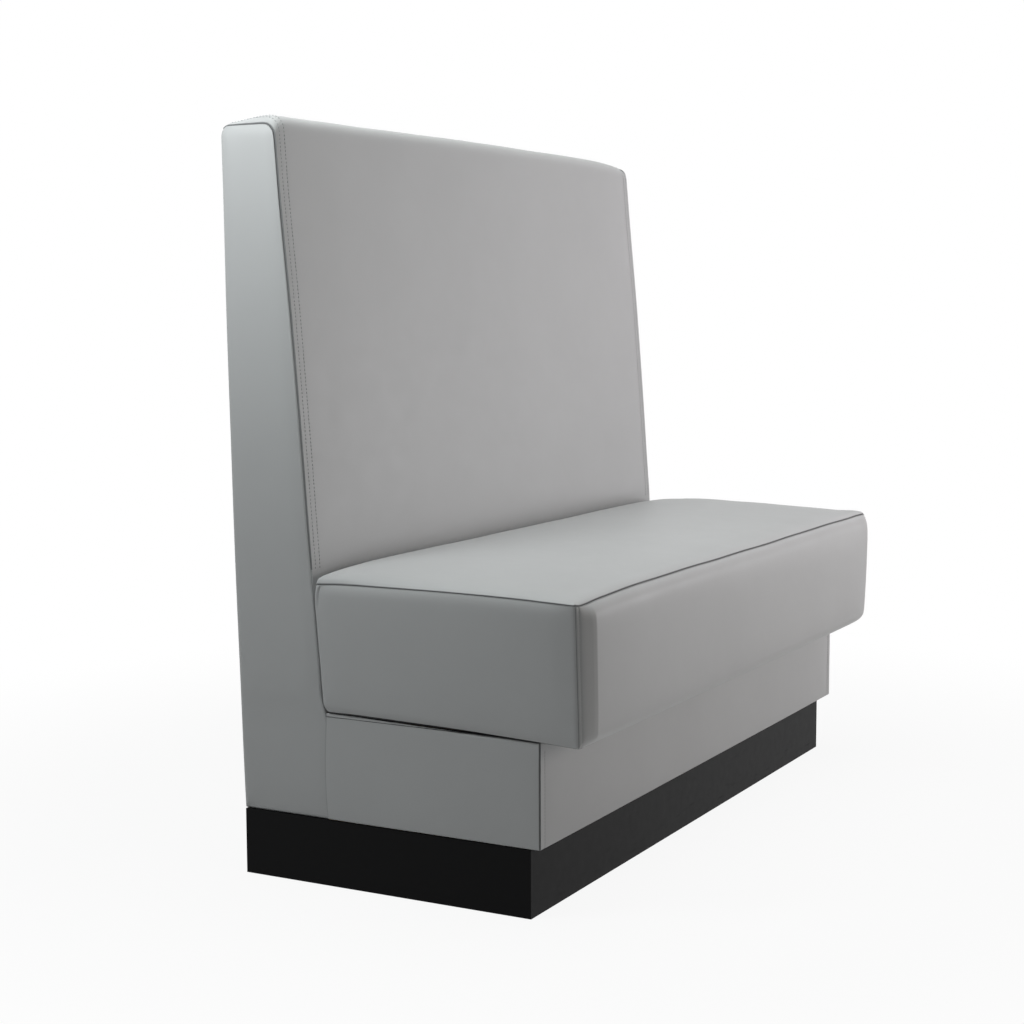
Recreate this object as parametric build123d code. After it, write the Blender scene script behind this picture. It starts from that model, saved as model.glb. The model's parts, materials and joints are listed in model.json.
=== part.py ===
from build123d import *
import math
import os

# An upholstered booth bench: a plinth, a skirted base, a lift-out box cushion and a tall leaning back.
# Lengths are in millimetres. X runs along the bench, Y from front to rear, Z up from the floor.
# A depth is measured forward from the plinth's rear face.

# Covers, padding and the room between them
vinyl = 1.2
ease = 0.3
overrun_length = 20.0

# Sheet materials
board = 18.0
thin_board = 12.0
face_board = 6.0
panel_board = 4.0
underlining_thickness = 0.8

# Cushion
seat_seam_height = 457.0
cushion_thickness = 200.0
cushion_length = 1219.0
cushion_front_overhang = 64.0
cushion_top_crown = 12.0
cushion_front_crown = 6.0
cushion_end_crown = 4.0
cushion_clearance = 0.5
front_pad_thickness = 15.0
end_pad_thickness = 10.0
rear_pad_thickness = 3.0
seat_rail_height = 76.0
seat_rib_x = 200.0
vent_radius = 12.0
vent_pitch = 110.0

# Pegs that locate the lift-out cushion, and the pads that it rests on
peg_radius = 6.0
peg_length = 25.0
peg_flange_radius = 12.0
peg_flange_thickness = 4.0
peg_x = 400.0
peg_fit = 0.1
peg_room = 0.5
peg_hole_depth = 32.0
rest_pad_thickness = 2.0
rest_gap = 0.3
rest_pad_length = 70.0
rest_pad_width = 14.0
rest_pad_x = 480.0

# Base under the cushion
skirt_end_inset = 4.0
skirt_front_overhang = 14.0
skirt_front_crown = 2.5
skirt_end_crown = 2.0
skirt_pad_thickness = 4.0
joint_gap = 0.3
base_rib_x = 190.0
batten_width = 36.0
batten_height = 40.0
cleat_height = 30.0
notch_fit = 0.2

# Back
back_end_inset = 9.0
back_seam_height = 1120.0
back_low_depth = 148.0
back_top_depth = 72.0
back_overhang = 26.0
back_top_crown = 12.0
back_front_crown = 5.0
back_side_crown = 4.0
back_corner_radius = 18.0
back_bow_rise = 16.0
back_foam_thickness = 25.0
back_top_foam_thickness = 24.0
back_side_pad_thickness = 4.0
back_rib_x = 190.0
back_rail_height = 60.0
back_middle_rail_height = 700.0
back_bottom_rail_depth = 78.0
rear_flap = 45.0
panel_margin = 14.0

# Plinth
plinth_left_inset = 1.0
plinth_right_inset = 24.0
plinth_depth = 490.0
plinth_height = 100.0
plinth_cross_x = 190.0
block_side = 45.0
block_height = 90.0
hem_gap = 0.4

# Screws and bolts
screw_radius = 2.5
screw_head_radius = 5.0
screw_head_height = 3.0
screw_fit = 0.1
screw_offset = 13.0
screw_bite = 12.0
screw_low = 36.0
screw_high = 62.0
fixing_screw_bite = 28.0
bolt_radius = 4.0
bolt_room = 0.5
thread_fit = 0.05
bolt_head_width = 13.0
bolt_head_height = 5.5
bolt_tail_length = 4.0
nut_height = 6.5
washer_radius = 10.0
washer_thickness = 1.6
bolt_outer_x = 450.0
bolt_inner_x = 90.0

# Where the sections of a crowned panel stand along it, and how flat the crown is between its ends
station_shares = (0, 0.05, 0.15, 0.32, 0.5, 0.68, 0.85, 0.95, 1)
crown_flatness = 6

# Places that follow from the sizes above
panel_stand = panel_board + vinyl + ease
layers = vinyl + ease
seat_bottom = seat_seam_height - cushion_thickness
skirt_top = seat_bottom - rest_gap - rest_pad_thickness
ledge = skirt_top
skirt_front = plinth_depth + skirt_front_overhang
cushion_front = skirt_front + cushion_front_overhang
lean = math.atan2(back_low_depth - back_top_depth, back_seam_height - ledge)
rear_lean = math.atan2(back_overhang, back_seam_height - plinth_height)
cushion_half = cushion_length / 2
skirt_half = cushion_half - skirt_end_inset
back_half = cushion_half - back_end_inset
seat_frame_half = cushion_half - layers - end_pad_thickness
seat_frame_front = cushion_front - layers - front_pad_thickness
base_half = skirt_half - layers - skirt_pad_thickness
base_front = skirt_front - layers - skirt_pad_thickness
base_rear = back_low_depth + joint_gap
frame_half = back_half - layers - back_side_pad_thickness
frame_top = back_seam_height - layers - back_top_foam_thickness
board_inset = layers + back_foam_thickness
frame_inset = board_inset + face_board


def front_depth(z, inset=0):
    """Depth of the back's leaning front face at height z, set in from the outside by inset."""
    return back_low_depth - (z - ledge) * math.tan(lean) - inset / math.cos(lean)


def rear_depth(z, inset=0):
    """Depth of the back's rear face at height z, which overhangs the plinth more the higher it is."""
    return (plinth_height - z) * math.tan(rear_lean) + inset / math.cos(rear_lean)


seat_rear_clear = cushion_clearance / math.cos(lean)
seat_rear_low = front_depth(seat_bottom) + seat_rear_clear
seat_frame_rear = seat_rear_low + layers + rear_pad_thickness
panel_high = back_seam_height - panel_margin
overall_rear = rear_depth(panel_high + layers, -panel_stand)
rear_y = (cushion_front + cushion_front_crown + overall_rear) / 2


def point(x, depth, z):
    """A point from its place along the bench, its depth and its height."""
    return Vector(x, rear_y - depth, z)


def block(x_low, x_high, depth_low, depth_high, z_low, z_high):
    """A square-cornered piece between two planes on each axis."""
    middle = point((x_low + x_high) / 2, (depth_low + depth_high) / 2, (z_low + z_high) / 2)
    return Pos(middle) * Box(x_high - x_low, depth_high - depth_low, z_high - z_low)


def prism(corners, x_low, x_high):
    """A solid along X from the (depth, z) corners of its end."""
    outline = Polyline(*[point(x_low, depth, z) for depth, z in corners], close=True)
    return extrude(Face(Wire(outline.edges())), amount=x_high - x_low, dir=(1, 0, 0))


def rear_sheet(x_low, x_high, inset_low, inset_high, z_low, z_high):
    """A board or cloth that lies along the back's leaning rear face, between two insets from it."""
    return prism(
        [
            (rear_depth(z_low, inset_low), z_low),
            (rear_depth(z_high, inset_low), z_high),
            (rear_depth(z_high, inset_high), z_high),
            (rear_depth(z_low, inset_high), z_low),
        ],
        x_low,
        x_high,
    )


def upright(radius, x, depth, z_low, z_high):
    """A round bar standing on z_low."""
    middle = point(x, depth, (z_low + z_high) / 2)
    return Pos(middle) * Cylinder(radius, z_high - z_low)


def bar_along_y(radius, x, depth_low, depth_high, z):
    """A round bar along Y."""
    middle = point(x, (depth_low + depth_high) / 2, z)
    return Pos(middle) * Rot(90, 0, 0) * Cylinder(radius, depth_high - depth_low)


def hexagon_along_y(width, x, depth_low, depth_high, z):
    """A bolt head or a nut with its axis along Y."""
    ends = RegularPolygon(width / 2, side_count=6, major_radius=False)
    middle = point(x, depth_high, z)
    return Pos(middle) * Rot(-90, 0, 0) * extrude(ends, amount=depth_high - depth_low)


def grown(shape, room):
    """The box round a shape, larger by room on every side."""
    box = shape.bounding_box()
    return Pos(box.center()) * Box(box.size.X + 2 * room, box.size.Y + 2 * room, box.size.Z + 2 * room)


def mirrored(shape):
    """The same piece at the other end of the bench."""
    return mirror(shape, about=Plane.YZ)


def crown_share(share):
    """How much of a panel's crown stands at this share of its length."""
    return 1 - abs(2 * share - 1) ** crown_flatness


def edge(start, end, middle=None):
    """A straight edge, or an arc where the middle is given."""
    if middle is None:
        return Line(start, end)
    return ThreePointArc(start, middle, end)


def bowed(start, end, outward, bow):
    """An edge whose middle stands out by bow."""
    if bow == 0:
        return Line(start, end)
    return ThreePointArc(start, (start + end) / 2 + outward * bow, end)


def section(place, along, low, high, thickness, inner_bow, outer_bow):
    """One slice of a panel: a bowed outside, a bowed or flat inside and two short ends."""
    inner_low, inner_high = place(along, low, 0), place(along, high, 0)
    outer_low, outer_high = place(along, low, thickness), place(along, high, thickness)
    outward = (outer_low - inner_low).normalized()
    edges = [
        bowed(inner_low, inner_high, outward, inner_bow),
        Line(inner_high, outer_high),
        bowed(outer_high, outer_low, outward, outer_bow),
        Line(outer_low, inner_low),
    ]
    return Face(Wire(edges))


def crowned(place, length, low, high, thickness, crown, flat_inside=False):
    """A panel or pad whose outside rises to its crown and is drawn in at all four edges."""
    slices = []
    for share in station_shares:
        bow = crown * crown_share(share)
        inner_bow = 0 if flat_inside else bow
        slices.append(section(place, share * length, low, high, thickness, inner_bow, bow))
    return loft(slices)


def front_place(length, depth, z_low):
    """Places for a panel that faces the front: along X, up from z_low, out from depth."""
    return lambda along, up, out: point(along - length / 2, depth + out, z_low + up)


def left_place(x, depth_low, z_low):
    """Places for a panel at the left end: along the depth, up from z_low, out from x."""
    return lambda along, up, out: point(-(x + out), depth_low + along, z_low + up)


# The plinth

plinth_left = plinth_left_inset - skirt_half
plinth_right = skirt_half - plinth_right_inset
plinth_inner_front = plinth_depth - board
block_depths = {"front": plinth_inner_front - block_side / 2, "rear": board + block_side / 2}
block_xs = {"left": plinth_left + board + block_side / 2, "right": plinth_right - board - block_side / 2}
outward_x = {"left": -1, "right": 1}
outward_depth = {"front": 1, "rear": -1}
cleat_top = plinth_height + cleat_height
bottom_rail_top = plinth_height + board
fixing_tops = {"front": cleat_top, "rear": bottom_rail_top}


def screw(head, axis, reach):
    """A screw whose head bears at a point and whose shank runs along its axis."""
    seat = Plane(origin=head, z_dir=axis)
    shank = seat * Pos(0, 0, reach / 2) * Cylinder(screw_radius, reach)
    return shank + seat * Pos(0, 0, -screw_head_height / 2) * Cylinder(screw_head_radius, screw_head_height)


def screw_hole(head, axis, reach):
    """The hole that a screw's shank runs in."""
    return Plane(origin=head, z_dir=axis) * Pos(0, 0, reach / 2) * Cylinder(screw_radius + screw_fit, reach)


def plinth_screw_lines():
    """Head, axis and reach of the screws from each corner block into the two boards beside it."""
    reach = block_side + screw_bite
    lines = []
    for side, x in block_xs.items():
        for end, depth in block_depths.items():
            toward_x, toward_depth = outward_x[side], outward_depth[end]
            inner_x = x - toward_x * block_side / 2
            inner_depth = depth - toward_depth * block_side / 2
            low_head = point(inner_x, depth - toward_depth * screw_offset, screw_low)
            high_head = point(x - toward_x * screw_offset, inner_depth, screw_high)
            lines.append((low_head, Vector(toward_x, 0, 0), reach))
            lines.append((high_head, Vector(0, -toward_depth, 0), reach))
    return lines


def fixing_screw_lines():
    """Head, axis and reach of the screws down through the cleat and the bottom rail into the blocks."""
    lines = []
    for x in block_xs.values():
        for end, depth in block_depths.items():
            head = point(x, depth + outward_depth[end] * screw_offset, fixing_tops[end])
            reach = fixing_tops[end] - plinth_height + fixing_screw_bite
            lines.append((head, Vector(0, 0, -1), reach))
    return lines


plinth_screw_holes = [screw_hole(*line) for line in plinth_screw_lines()]
fixing_screw_holes = [screw_hole(*line) for line in fixing_screw_lines()]


def plinth():
    """Black boards on the floor, braced across, with a timber block in each corner."""
    left_inner = plinth_left + board
    right_inner = plinth_right - board
    front = block(left_inner, right_inner, plinth_inner_front, plinth_depth, 0, plinth_height)
    rear = block(left_inner, right_inner, 0, board, 0, plinth_height)
    left = block(plinth_left, left_inner, 0, plinth_depth, 0, plinth_height)
    right = block(right_inner, plinth_right, 0, plinth_depth, 0, plinth_height)
    braces = [
        block(x - board / 2, x + board / 2, board, plinth_inner_front, 0, plinth_height)
        for x in (-plinth_cross_x, plinth_cross_x)
    ]
    half = block_side / 2
    corners = [
        block(x - half, x + half, depth - half, depth + half, plinth_height - block_height, plinth_height)
        - plinth_screw_holes
        - fixing_screw_holes
        for x in block_xs.values()
        for depth in block_depths.values()
    ]
    return {
        "plinth_front_board": front - plinth_screw_holes,
        "plinth_rear_board": rear - plinth_screw_holes,
        "plinth_left_end_board": left - plinth_screw_holes,
        "plinth_right_end_board": right - plinth_screw_holes,
        "plinth_cross_boards": braces,
        "plinth_corner_blocks": corners,
        "plinth_screws": [screw(*line) for line in plinth_screw_lines()],
    }


# The base

batten_low = skirt_top - batten_height
base_end_inner = base_half - board
base_front_inner = base_front - board
base_rear_inner = base_rear + board
peg_depths = (base_front_inner - batten_width / 2, base_rear_inner + batten_width / 2)
bolt_z = (plinth_height + batten_low) / 2
joining_rail_low = (plinth_height + bolt_z) / 2
bolt_xs = (-bolt_outer_x, -bolt_inner_x, bolt_inner_x, bolt_outer_x)
joining_rail_rear = back_low_depth - board
rest_pad_top = skirt_top + rest_pad_thickness


def peg_places():
    """Where the four pegs stand, as (x, depth)."""
    return [(x, depth) for x in (-peg_x, peg_x) for depth in peg_depths]


def bolt_holes():
    """Clearance holes for the bolts that join the base to the back."""
    return [
        bar_along_y(bolt_radius + bolt_room, x, joining_rail_rear, base_rear_inner, bolt_z) for x in bolt_xs
    ]


def base_boards():
    """The plywood box that the skirt covers."""
    front = block(-base_half, base_half, base_front_inner, base_front, plinth_height, skirt_top)
    rear = block(-base_end_inner, base_end_inner, base_rear, base_rear_inner, plinth_height, skirt_top)
    left = block(-base_half, -base_end_inner, base_rear, base_front_inner, plinth_height, skirt_top)
    notches = [grown(batten, notch_fit) for batten in base_battens()]
    ribs = [
        block(x - board / 2, x + board / 2, base_rear_inner, base_front_inner, plinth_height, skirt_top)
        - notches
        for x in (-base_rib_x, base_rib_x)
    ]
    return {
        "base_front_board": front,
        "base_rear_board": rear - bolt_holes(),
        "base_left_board": left,
        "base_right_board": mirrored(left),
        "base_ribs": ribs,
    }


def base_battens():
    """Two top battens bored for the cushion's pegs, and a cleat screwed down on the plinth."""
    holes = [
        upright(peg_radius + peg_room, x, depth, skirt_top - peg_hole_depth, skirt_top)
        for x, depth in peg_places()
    ]
    half = base_end_inner
    front_low = base_front_inner - batten_width
    rear_high = base_rear_inner + batten_width
    front = block(-half, half, front_low, base_front_inner, batten_low, skirt_top)
    rear = block(-half, half, base_rear_inner, rear_high, batten_low, skirt_top)
    cleat = block(-half, half, front_low, base_front_inner, plinth_height, cleat_top)
    return [front - holes, rear - holes, cleat - fixing_screw_holes]


def base_rest_pads():
    """Thin pads on the base's top edges, which the cushion comes down on."""
    height = rest_pad_top - skirt_top
    return [
        Pos(point(x, depth, (skirt_top + rest_pad_top) / 2)) * Box(rest_pad_length, rest_pad_width, height)
        for x in (-rest_pad_x, 0, rest_pad_x)
        for depth in (base_front - board / 2, base_rear + board / 2)
    ]


def skirt():
    """The padded vinyl panels round the base."""
    low = plinth_height + hem_gap
    height = skirt_top - low
    front, front_rise = skirt_front - vinyl, skirt_front_crown
    left, end_rise = skirt_half - vinyl, skirt_end_crown
    thick = skirt_pad_thickness
    length = 2 * skirt_half
    front_cover = crowned(front_place(length, front, low), length, 0, height, vinyl, front_rise)
    left_cover = crowned(left_place(left, base_rear, low), front - base_rear, 0, height, vinyl, end_rise)
    length = 2 * base_half
    place = front_place(length, base_front, low)
    front_padding = crowned(place, length, 0, height, thick, front_rise, True)
    length = base_front - base_rear
    left_padding = crowned(left_place(base_half, base_rear, low), length, 0, height, thick, end_rise, True)
    return {
        "skirt_padding": [front_padding, left_padding, mirrored(left_padding)],
        "skirt_front_cover": front_cover,
        "skirt_left_cover": left_cover,
        "skirt_right_cover": mirrored(left_cover),
    }


# The lift-out cushion

seat_board_low = seat_bottom + underlining_thickness
seat_board_top = seat_board_low + thin_board
seat_rail_top = seat_board_top + seat_rail_height
seat_deck_top = seat_rail_top + thin_board
seat_form_top = seat_seam_height - layers
seat_rail_inner = seat_frame_half - board
boxing_top = seat_seam_height - vinyl


def seat_rear_depth(z, inset=0):
    """Depth of the cushion's leaning rear face at height z."""
    return front_depth(z, inset=-inset) + seat_rear_clear


def seat_frame():
    """The plywood box inside the cushion, with a vented deck on top."""
    holes = [
        upright(peg_radius + peg_fit, x, depth, seat_bottom, seat_board_top) for x, depth in peg_places()
    ]
    half, rear, front = seat_frame_half, seat_frame_rear, seat_frame_front
    floor = block(-half, half, rear, front, seat_board_low, seat_board_top)
    front_rail = block(-half, half, front - board, front, seat_board_top, seat_rail_top)
    rear_rail = block(-half, half, rear, rear + board, seat_board_top, seat_rail_top)
    left_rail = block(
        -half, -seat_rail_inner, rear + board, front - board, seat_board_top, seat_rail_top
    )
    ribs = [
        block(x - board / 2, x + board / 2, rear + board, front - board, seat_board_top, seat_rail_top)
        for x in (-seat_rib_x, seat_rib_x)
    ]
    deck = block(-half, half, rear, front, seat_rail_top, seat_deck_top)
    columns = int((seat_rail_inner - vent_radius) / vent_pitch)
    middle = (rear + front) / 2
    vents = [
        upright(vent_radius, column * vent_pitch, middle + row * vent_pitch, seat_rail_top, seat_deck_top)
        for column in range(-columns, columns + 1)
        for row in (-1, 0, 1)
    ]
    return {
        "seat_bottom_board": floor - holes,
        "seat_front_rail": front_rail,
        "seat_rear_rail": rear_rail,
        "seat_end_rails": [left_rail, mirrored(left_rail)],
        "seat_ribs": ribs,
        "seat_deck": deck - vents,
    }


def seat_pegs():
    """Flanged pegs that drop into the base's battens."""
    return [
        upright(peg_radius, x, depth, seat_bottom - peg_length, seat_board_top)
        + upright(peg_flange_radius, x, depth, seat_board_top, seat_board_top + peg_flange_thickness)
        for x, depth in peg_places()
    ]


def seat_underlining():
    """The black cloth stapled under the cushion, pierced by the pegs."""
    rear = seat_rear_low + layers
    front = cushion_front - layers
    half = cushion_half - layers
    holes = [
        upright(peg_radius + peg_fit, x, depth, seat_bottom, seat_board_low) for x, depth in peg_places()
    ]
    return block(-half, half, rear, front, seat_bottom, seat_board_low) - holes


def cushion_form():
    """Everything inside the cushion's cover above the deck: flat below, crowned above."""
    length = cushion_length - 2 * layers
    rear, front = seat_rear_depth(seat_form_top, layers), cushion_front - layers
    height = seat_form_top - seat_deck_top

    def place(along, across, up):
        return point(along - length / 2, rear + across, seat_deck_top + up)

    return crowned(place, length, 0, front - rear, height, cushion_top_crown, True)


def seat_padding():
    """The foam block on the deck, and the pads round the box."""
    low = seat_board_low
    height = seat_form_top - low
    core = block(
        -seat_frame_half,
        seat_frame_half,
        seat_frame_rear,
        seat_frame_front,
        seat_deck_top,
        seat_form_top + cushion_top_crown + overrun_length,
    )
    foam = cushion_form() & core
    length = cushion_length - 2 * layers
    place = front_place(length, seat_frame_front, low)
    front = crowned(place, length, 0, height, front_pad_thickness, cushion_front_crown, True)
    left = seat_end_panel(
        seat_frame_half,
        end_pad_thickness,
        True,
        low,
        seat_form_top,
        lambda z: seat_frame_rear,
        seat_frame_front,
    )
    rear = prism(
        [
            (seat_frame_rear, low),
            (seat_frame_rear, seat_form_top),
            (seat_rear_depth(seat_form_top, layers), seat_form_top),
            (seat_rear_depth(low, layers), low),
        ],
        -length / 2,
        length / 2,
    )
    return {"seat_foam": foam, "seat_edge_padding": [front, left, mirrored(left), rear]}


def seat_cover():
    """The sewn cover: a crowned top and a boxing of four panels."""
    height = boxing_top - seat_bottom
    top_rear = seat_rear_depth(seat_seam_height)

    def top_place(along, across, up):
        return point(along - cushion_half, top_rear + across, boxing_top + up)

    top = crowned(top_place, cushion_length, 0, cushion_front - top_rear, vinyl, cushion_top_crown)
    front = crowned(
        front_place(cushion_length, cushion_front - vinyl, seat_bottom),
        cushion_length,
        0,
        height,
        vinyl,
        cushion_front_crown,
    )
    rear = prism(
        [
            (seat_rear_depth(seat_bottom), seat_bottom),
            (seat_rear_depth(boxing_top), boxing_top),
            (seat_rear_depth(boxing_top, vinyl), boxing_top),
            (seat_rear_depth(seat_bottom, vinyl), seat_bottom),
        ],
        -cushion_half,
        cushion_half,
    )
    left = seat_end_panel(
        cushion_half - vinyl,
        vinyl,
        False,
        seat_bottom,
        boxing_top,
        lambda z: seat_rear_depth(z, vinyl),
        cushion_front - vinyl,
    )
    return {
        "seat_top_cover": top,
        "seat_front_boxing": front,
        "seat_rear_boxing": rear,
        "seat_left_boxing": left,
        "seat_right_boxing": mirrored(left),
    }


def seat_end_panel(x_inner, thickness, flat_inside, low, high, rear_at, front):
    """A crowned panel on the cushion's left end, whose rear edge is where rear_at puts it."""

    def place(along, across, out):
        z = low + along
        rear = rear_at(z)
        return point(-(x_inner + out), rear + across * (front - rear), z)

    slices = []
    for share in station_shares:
        bow = cushion_end_crown * crown_share(share)
        inner_bow = 0 if flat_inside else bow
        slices.append(section(place, share * (high - low), 0, 1, thickness, inner_bow, bow))
    return loft(slices, ruled=True)


# The back

flap_low = back_seam_height - rear_flap


def corner(before, at, after, radius):
    """Start, middle and end of the arc that rounds the corner at, between two straight runs."""
    toward_before = (before - at).normalized()
    toward_after = (after - at).normalized()
    half = math.radians(toward_before.get_angle(toward_after)) / 2
    reach = radius / math.tan(half)
    bisector = (toward_before + toward_after).normalized()
    middle = at + bisector * (radius / math.sin(half) - radius)
    return at + toward_before * reach, middle, at + toward_after * reach


def back_chain(x, inset, share):
    """The back's outline from the foot of its front face over the top to the end of the rear flap.

    Each run is (start, end, middle), with no middle where it is straight."""
    bow_low = seat_seam_height + back_bow_rise
    top = back_seam_height - inset
    radius = back_corner_radius - inset
    foot = point(x, front_depth(ledge, inset), ledge)
    start = point(x, front_depth(bow_low, inset), bow_low)
    front_corner = point(x, front_depth(top, inset), top)
    rear_corner = point(x, rear_depth(top, inset), top)
    flap_end = point(x, rear_depth(flap_low, inset), flap_low)
    a, front_round, b = corner(start, front_corner, rear_corner, radius)
    c, rear_round, d = corner(front_corner, rear_corner, flap_end, radius)
    outward = Vector(0, -math.cos(lean), math.sin(lean))
    front_middle = (start + a) / 2 + outward * back_front_crown * share if share else None
    top_middle = (b + c) / 2 + Vector(0, 0, back_top_crown * share) if share else None
    return [
        (foot, start, None),
        (start, a, front_middle),
        (a, b, front_round),
        (b, c, top_middle),
        (c, d, rear_round),
        (d, flap_end, None),
    ]


def closed_section(runs):
    """A face bounded by runs, each (start, end, middle)."""
    return Face(Wire([edge(start, end, middle) for start, end, middle in runs]))


def reversed_runs(runs):
    """The same runs from their far end."""
    return [(end, start, middle) for start, end, middle in reversed(runs)]


def joined(*corners):
    """Straight runs through these points."""
    return [(start, end, None) for start, end in zip(corners, corners[1:]) if (end - start).length > 0]


def back_wrap_cover():
    """The main cover: up the front, over the top and down the rear to its flap."""
    half = back_half - vinyl
    slices = []
    for share in station_shares:
        x = (2 * share - 1) * half
        outer = back_chain(x, 0, crown_share(share))
        inner = back_chain(x, vinyl, crown_share(share))
        runs = outer + joined(outer[-1][1], inner[-1][1]) + reversed_runs(inner)
        runs += joined(inner[0][0], outer[0][0])
        slices.append(closed_section(runs))
    return loft(slices)


def back_foams():
    """The foam on the back's face and over its top, cut apart along the face board."""
    slices = []
    board_top_depth = front_depth(frame_top, board_inset)
    for share in station_shares:
        x = (2 * share - 1) * frame_half
        runs = back_chain(x, layers, crown_share(share))[:-1]
        runs += joined(
            runs[-1][1],
            point(x, rear_depth(frame_top, layers), frame_top),
            point(x, board_top_depth, frame_top),
            point(x, front_depth(ledge, board_inset), ledge),
            runs[0][0],
        )
        slices.append(closed_section(runs))
    wrap = loft(slices)
    rear = rear_depth(back_seam_height) - overrun_length
    low, high = frame_top - overrun_length, back_seam_height + overrun_length
    behind = block(-back_half, back_half, rear, board_top_depth, low, high)
    return {"back_front_foam": wrap - behind, "back_top_foam": wrap & behind}


def side_profile(inset, x_low, x_high):
    """The back's end outline with its rounded top corners, as a solid to trim with."""
    chain = back_chain(x_low, inset, 0)
    low = plinth_height + hem_gap
    flap_end, foot = chain[-1][1], chain[0][0]
    base = joined(
        flap_end,
        point(x_low, rear_depth(low, inset), low),
        point(x_low, back_low_depth, low),
        point(x_low, back_low_depth, ledge),
        foot,
    )
    return extrude(closed_section(chain + base), amount=x_high - x_low, dir=(1, 0, 0))


def back_side_panel(x_inner, thickness, flat_inside, inset):
    """A crowned panel on the back's left end, drawn in along its whole tapering edge."""
    low = plinth_height + hem_gap
    height = back_seam_height - inset - low
    ledge_share = (ledge - low) / height
    shares = [0, ledge_share / 2] + [ledge_share + share * (1 - ledge_share) for share in station_shares]

    def place(along, across, out):
        z = low + along
        front = min(front_depth(z, inset), back_low_depth)
        rear = rear_depth(z, inset)
        return point(-(x_inner + out), rear + across * (front - rear), z)

    slices = []
    for share in shares:
        bow = back_side_crown * crown_share(share)
        slices.append(section(place, share * height, 0, 1, thickness, 0 if flat_inside else bow, bow))
    plate = loft(slices, ruled=True)
    reach = x_inner + thickness + back_side_crown + overrun_length
    return plate & side_profile(inset, -reach, 0)


def back_covers():
    """The main cover and the two end panels sewn into it."""
    flap = rear_sheet(
        vinyl / 2 - back_half, rear_flap - back_half, 0, vinyl, plinth_height + hem_gap, flap_low
    )
    left = back_side_panel(back_half - vinyl, vinyl, False, 0) + flap
    padding = back_side_panel(frame_half, back_side_pad_thickness, True, layers)
    return {
        "back_wrap_cover": back_wrap_cover(),
        "back_left_cover": left,
        "back_right_cover": mirrored(left),
        "back_end_padding": [padding, mirrored(padding)],
    }


def back_profile():
    """Corners of the frame's end boards and ribs, as (depth, z)."""
    return [
        (rear_depth(plinth_height, layers), plinth_height),
        (back_low_depth, plinth_height),
        (back_low_depth, ledge),
        (front_depth(ledge, frame_inset), ledge),
        (front_depth(frame_top, frame_inset), frame_top),
        (rear_depth(frame_top, layers), frame_top),
    ]


def back_rails():
    """The boards that run the length of the back's frame."""
    half = frame_half - board
    rail_front = layers + board
    top_low = frame_top - back_rail_height
    middle_low = back_middle_rail_height - back_rail_height / 2
    middle_high = middle_low + back_rail_height
    bottom_front = layers + back_bottom_rail_depth
    return {
        "back_top_rail": rear_sheet(-half, half, layers, rail_front, top_low, frame_top),
        "back_middle_rail": rear_sheet(-half, half, layers, rail_front, middle_low, middle_high),
        "back_bottom_rail": block(-half, half, layers, bottom_front, plinth_height, bottom_rail_top),
        "back_joining_rail": block(
            -half, half, joining_rail_rear, back_low_depth, joining_rail_low, ledge
        ),
    }


def back_frame():
    """End boards, notched ribs, rails and the board that carries the front foam."""
    left = prism(back_profile(), -frame_half, board - frame_half)
    rails = back_rails()
    notches = [grown(rail, notch_fit) for rail in rails.values()]
    ribs = [
        prism(back_profile(), x - board / 2, x + board / 2) - notches for x in (-back_rib_x, back_rib_x)
    ]
    face = prism(
        [
            (front_depth(ledge, board_inset), ledge),
            (front_depth(frame_top, board_inset), frame_top),
            (front_depth(frame_top, frame_inset), frame_top),
            (front_depth(ledge, frame_inset), ledge),
        ],
        -frame_half,
        frame_half,
    )
    rails["back_joining_rail"] -= bolt_holes()
    rails["back_bottom_rail"] -= fixing_screw_holes
    return {
        "back_left_end_board": left,
        "back_right_end_board": mirrored(left),
        "back_ribs": ribs,
        "back_face_board": face,
        **rails,
    }


def outside_back():
    """The thin covered panel that closes the rear, flat on its outside."""
    half = back_half - panel_margin
    low = plinth_height + panel_margin
    high = panel_high
    panel = rear_sheet(-half, half, -panel_board, 0, low, high)
    pocket = rear_sheet(-half - ease, half + ease, -panel_board - ease, 0, low - ease, high + ease)
    skin = rear_sheet(-half - layers, half + layers, -panel_stand, 0, low - layers, high + layers)
    return {"outside_back_board": panel, "outside_back_cover": skin - pocket}


def joining_bolts():
    """Bolts through the base's rear board and the back's joining rail, with washers and nuts."""
    head_low = base_rear_inner + washer_thickness
    nut_high = joining_rail_rear - washer_thickness
    nut_low = nut_high - nut_height
    bolts, washers, nuts = [], [], []
    for x in bolt_xs:
        head = hexagon_along_y(bolt_head_width, x, head_low, head_low + bolt_head_height, bolt_z)
        bolts.append(head + bar_along_y(bolt_radius, x, nut_low - bolt_tail_length, head_low, bolt_z))
        bore = bar_along_y(bolt_radius + bolt_room, x, nut_high, head_low, bolt_z)
        washers.append(bar_along_y(washer_radius, x, base_rear_inner, head_low, bolt_z) - bore)
        washers.append(bar_along_y(washer_radius, x, nut_high, joining_rail_rear, bolt_z) - bore)
        thread = bar_along_y(bolt_radius + thread_fit, x, nut_low, nut_high, bolt_z)
        nuts.append(hexagon_along_y(bolt_head_width, x, nut_low, nut_high, bolt_z) - thread)
    return {"joining_bolts": bolts, "joining_washers": washers, "joining_nuts": nuts}


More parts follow.
